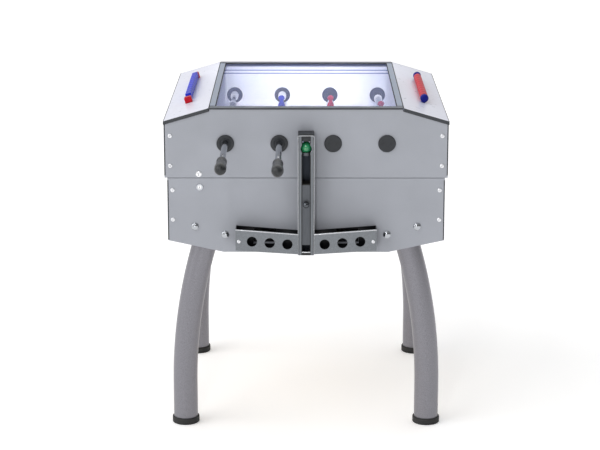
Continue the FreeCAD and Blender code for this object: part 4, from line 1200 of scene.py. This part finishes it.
class FOOSBALL_OT_fixings(bpy.types.Operator):
    """Cross-head screws and the lock"""
    bl_idname = "foosball.fixings"
    bl_label = "Fixings"

    def execute(self, context):
        rise = 2.5 * MM
        screws = []
        for start, end in solids("screws"):
            middle, radius = middle_and_radius(start, end)
            side = 1 if middle[1] > 0 else -1
            tip, crown = sorted((abs(start[1]), abs(end[1])))
            points, quads = crossed_screw(radius, tip, crown - rise, rise)
            screws.append((points * (1, side, 1) + (middle[0], 0, middle[2]), quads))
        piece("cross_head_screws", screws, "zinc", ["screws"], sharp=45.0)
        finish_nodes("chrome", "lock_barrel")
        finish_nodes("zinc", "lock_plug")
        return {"FINISHED"}


# --- Stage -----------------------------------------------------------------------------------

# Places of the lights and what they are aimed at, in metres, and the way the surround brightens.
TABLE_MIDDLE = (0.0, 0.0, 0.7)
FAR_WALL = (0.0, 0.34, 0.83)
KEY_PLACE = (-3.6, -1.8, 3.4)
STRIP_PLACE = (-0.5, -3.6, 2.3)
BEAM_PLACE = (0.0, -2.1, 2.45)
BRIGHT_WAY = (-0.55, 0.6, 0.45)


class FOOSBALL_OT_stage(bpy.types.Operator):
    """Pale floor, soft studio light and the camera"""
    bl_idname = "foosball.stage"
    bl_label = "Stage"

    def execute(self, context):
        scene = context.scene
        setup = scene.foosball_stage
        scene.view_settings.view_transform = "Standard"
        self.floor(scene, setup)
        self.surround(scene, setup)
        self.lamp(scene, "key_light", "SUN", setup.key, KEY_PLACE, TABLE_MIDDLE, angle=1.0)
        self.lamp(scene, "strip_light", "AREA", setup.strip, STRIP_PLACE, TABLE_MIDDLE,
                  shape="RECTANGLE", size=0.07, size_y=4.4)
        # A narrow beam from above the front, through the glass onto the far wall of the pitch.
        self.lamp(scene, "pitch_beam", "AREA", setup.beam, BEAM_PLACE, FAR_WALL,
                  shape="RECTANGLE", size=0.42, size_y=0.1, spread=math.radians(6))
        camera = bpy.data.cameras.new("camera")
        camera.lens = setup.lens
        camera.sensor_width = 36.0
        camera.clip_end = 100.0
        view = bpy.data.objects.new("camera", camera)
        view.location = (setup.side, -setup.distance, setup.height)
        view.rotation_euler = (math.pi / 2 - setup.tilt, 0.0, setup.swing)
        scene.collection.objects.link(view)
        scene.camera = view
        return {"FINISHED"}

    def surround(self, scene, setup):
        """White room around the table, bright behind and on the left, dimmer in front and right."""
        world = bpy.data.worlds.new("white_surround")
        world.use_nodes = True
        tree = world.node_tree
        toward = add(tree, "TexCoord").outputs["Generated"]
        side = add(tree, "VectorMath", {0: toward, 1: BRIGHT_WAY}, operation="DOT_PRODUCT")
        level = add(tree, "MapRange", {"Value": side.outputs["Value"], "From Min": -0.5,
                                       "From Max": 0.45, "To Min": setup.dim,
                                       "To Max": setup.bright})
        tree.links.new(level.outputs[0], tree.nodes["Background"].inputs["Strength"])
        tree.nodes["Background"].inputs["Color"].default_value = (1.0, 1.0, 1.0, 1.0)
        scene.world = world

    def lamp(self, scene, name, kind, power, place, target, **settings):
        """Light at a place, aimed at a target."""
        light = bpy.data.lights.new(name, kind)
        light.energy = power
        for key, value in settings.items():
            setattr(light, key, value)
        item = bpy.data.objects.new(name, light)
        item.location = place
        aim = np.array(target) - np.array(place)
        item.rotation_euler = (math.atan2(math.hypot(aim[0], aim[1]), -aim[2]), 0.0,
                               math.atan2(aim[1], aim[0]) - math.pi / 2)
        scene.collection.objects.link(item)

    def floor(self, scene, setup):
        """Flat square of floor, with a faint cloudiness."""
        span = 30.0
        points, quads = grid(np.array([[[-span, -span, 0.0], [span, -span, 0.0]],
                                       [[-span, span, 0.0], [span, span, 0.0]]]),
                             wrap_columns=False)
        mesh = bpy.data.meshes.new("floor")
        mesh.from_pydata(points.tolist(), [], quads.tolist())
        material, tree, shader, where = new_material(
            "pale_floor", srgb("F8F8F8"), 0.9,
            **{"Emission Color": (1.0, 1.0, 1.0, 1.0), "Emission Strength": setup.glow})
        vary(tree, shader, noise(tree, where, 0.4, 2.0), srgb("F6F6F6"), srgb("FAFAFA"))
        mesh.materials.append(material)
        floor = bpy.data.objects.new("floor", mesh)
        scene.collection.objects.link(floor)


OPERATORS = (FOOSBALL_OT_cabinet, FOOSBALL_OT_pitch, FOOSBALL_OT_bearings, FOOSBALL_OT_rods,
             FOOSBALL_OT_lift, FOOSBALL_OT_trays, FOOSBALL_OT_legs, FOOSBALL_OT_counters,
             FOOSBALL_OT_fixings, FOOSBALL_OT_stage)


class FOOSBALL_PT_table(bpy.types.Panel):
    """Lists the table's settings and the operators that build it"""
    bl_idname = "FOOSBALL_PT_table"
    bl_label = "Foosball table"
    bl_space_type = "VIEW_3D"
    bl_region_type = "UI"
    bl_category = "Foosball"

    def draw(self, context):
        scene = context.scene
        for group in (scene.foosball_colours, scene.foosball_sizes, scene.foosball_stage):
            box = self.layout.box()
            for key in type(group).__annotations__:
                box.prop(group, key)
        for operator in OPERATORS:
            self.layout.operator(operator.bl_idname)


CLASSES = (FoosballColours, FoosballSizes, FoosballStage) + OPERATORS + (FOOSBALL_PT_table,)


def register():
    for item in CLASSES:
        bpy.utils.register_class(item)
    bpy.types.Scene.foosball_colours = bpy.props.PointerProperty(type=FoosballColours)
    bpy.types.Scene.foosball_sizes = bpy.props.PointerProperty(type=FoosballSizes)
    bpy.types.Scene.foosball_stage = bpy.props.PointerProperty(type=FoosballStage)


def unregister():
    del bpy.types.Scene.foosball_stage
    del bpy.types.Scene.foosball_sizes
    del bpy.types.Scene.foosball_colours
    for item in reversed(CLASSES):
        bpy.utils.unregister_class(item)


def main():
    register()
    for operator in OPERATORS:
        getattr(bpy.ops.foosball, operator.bl_idname.split(".")[1])()


if __name__ == "__main__":
    main()
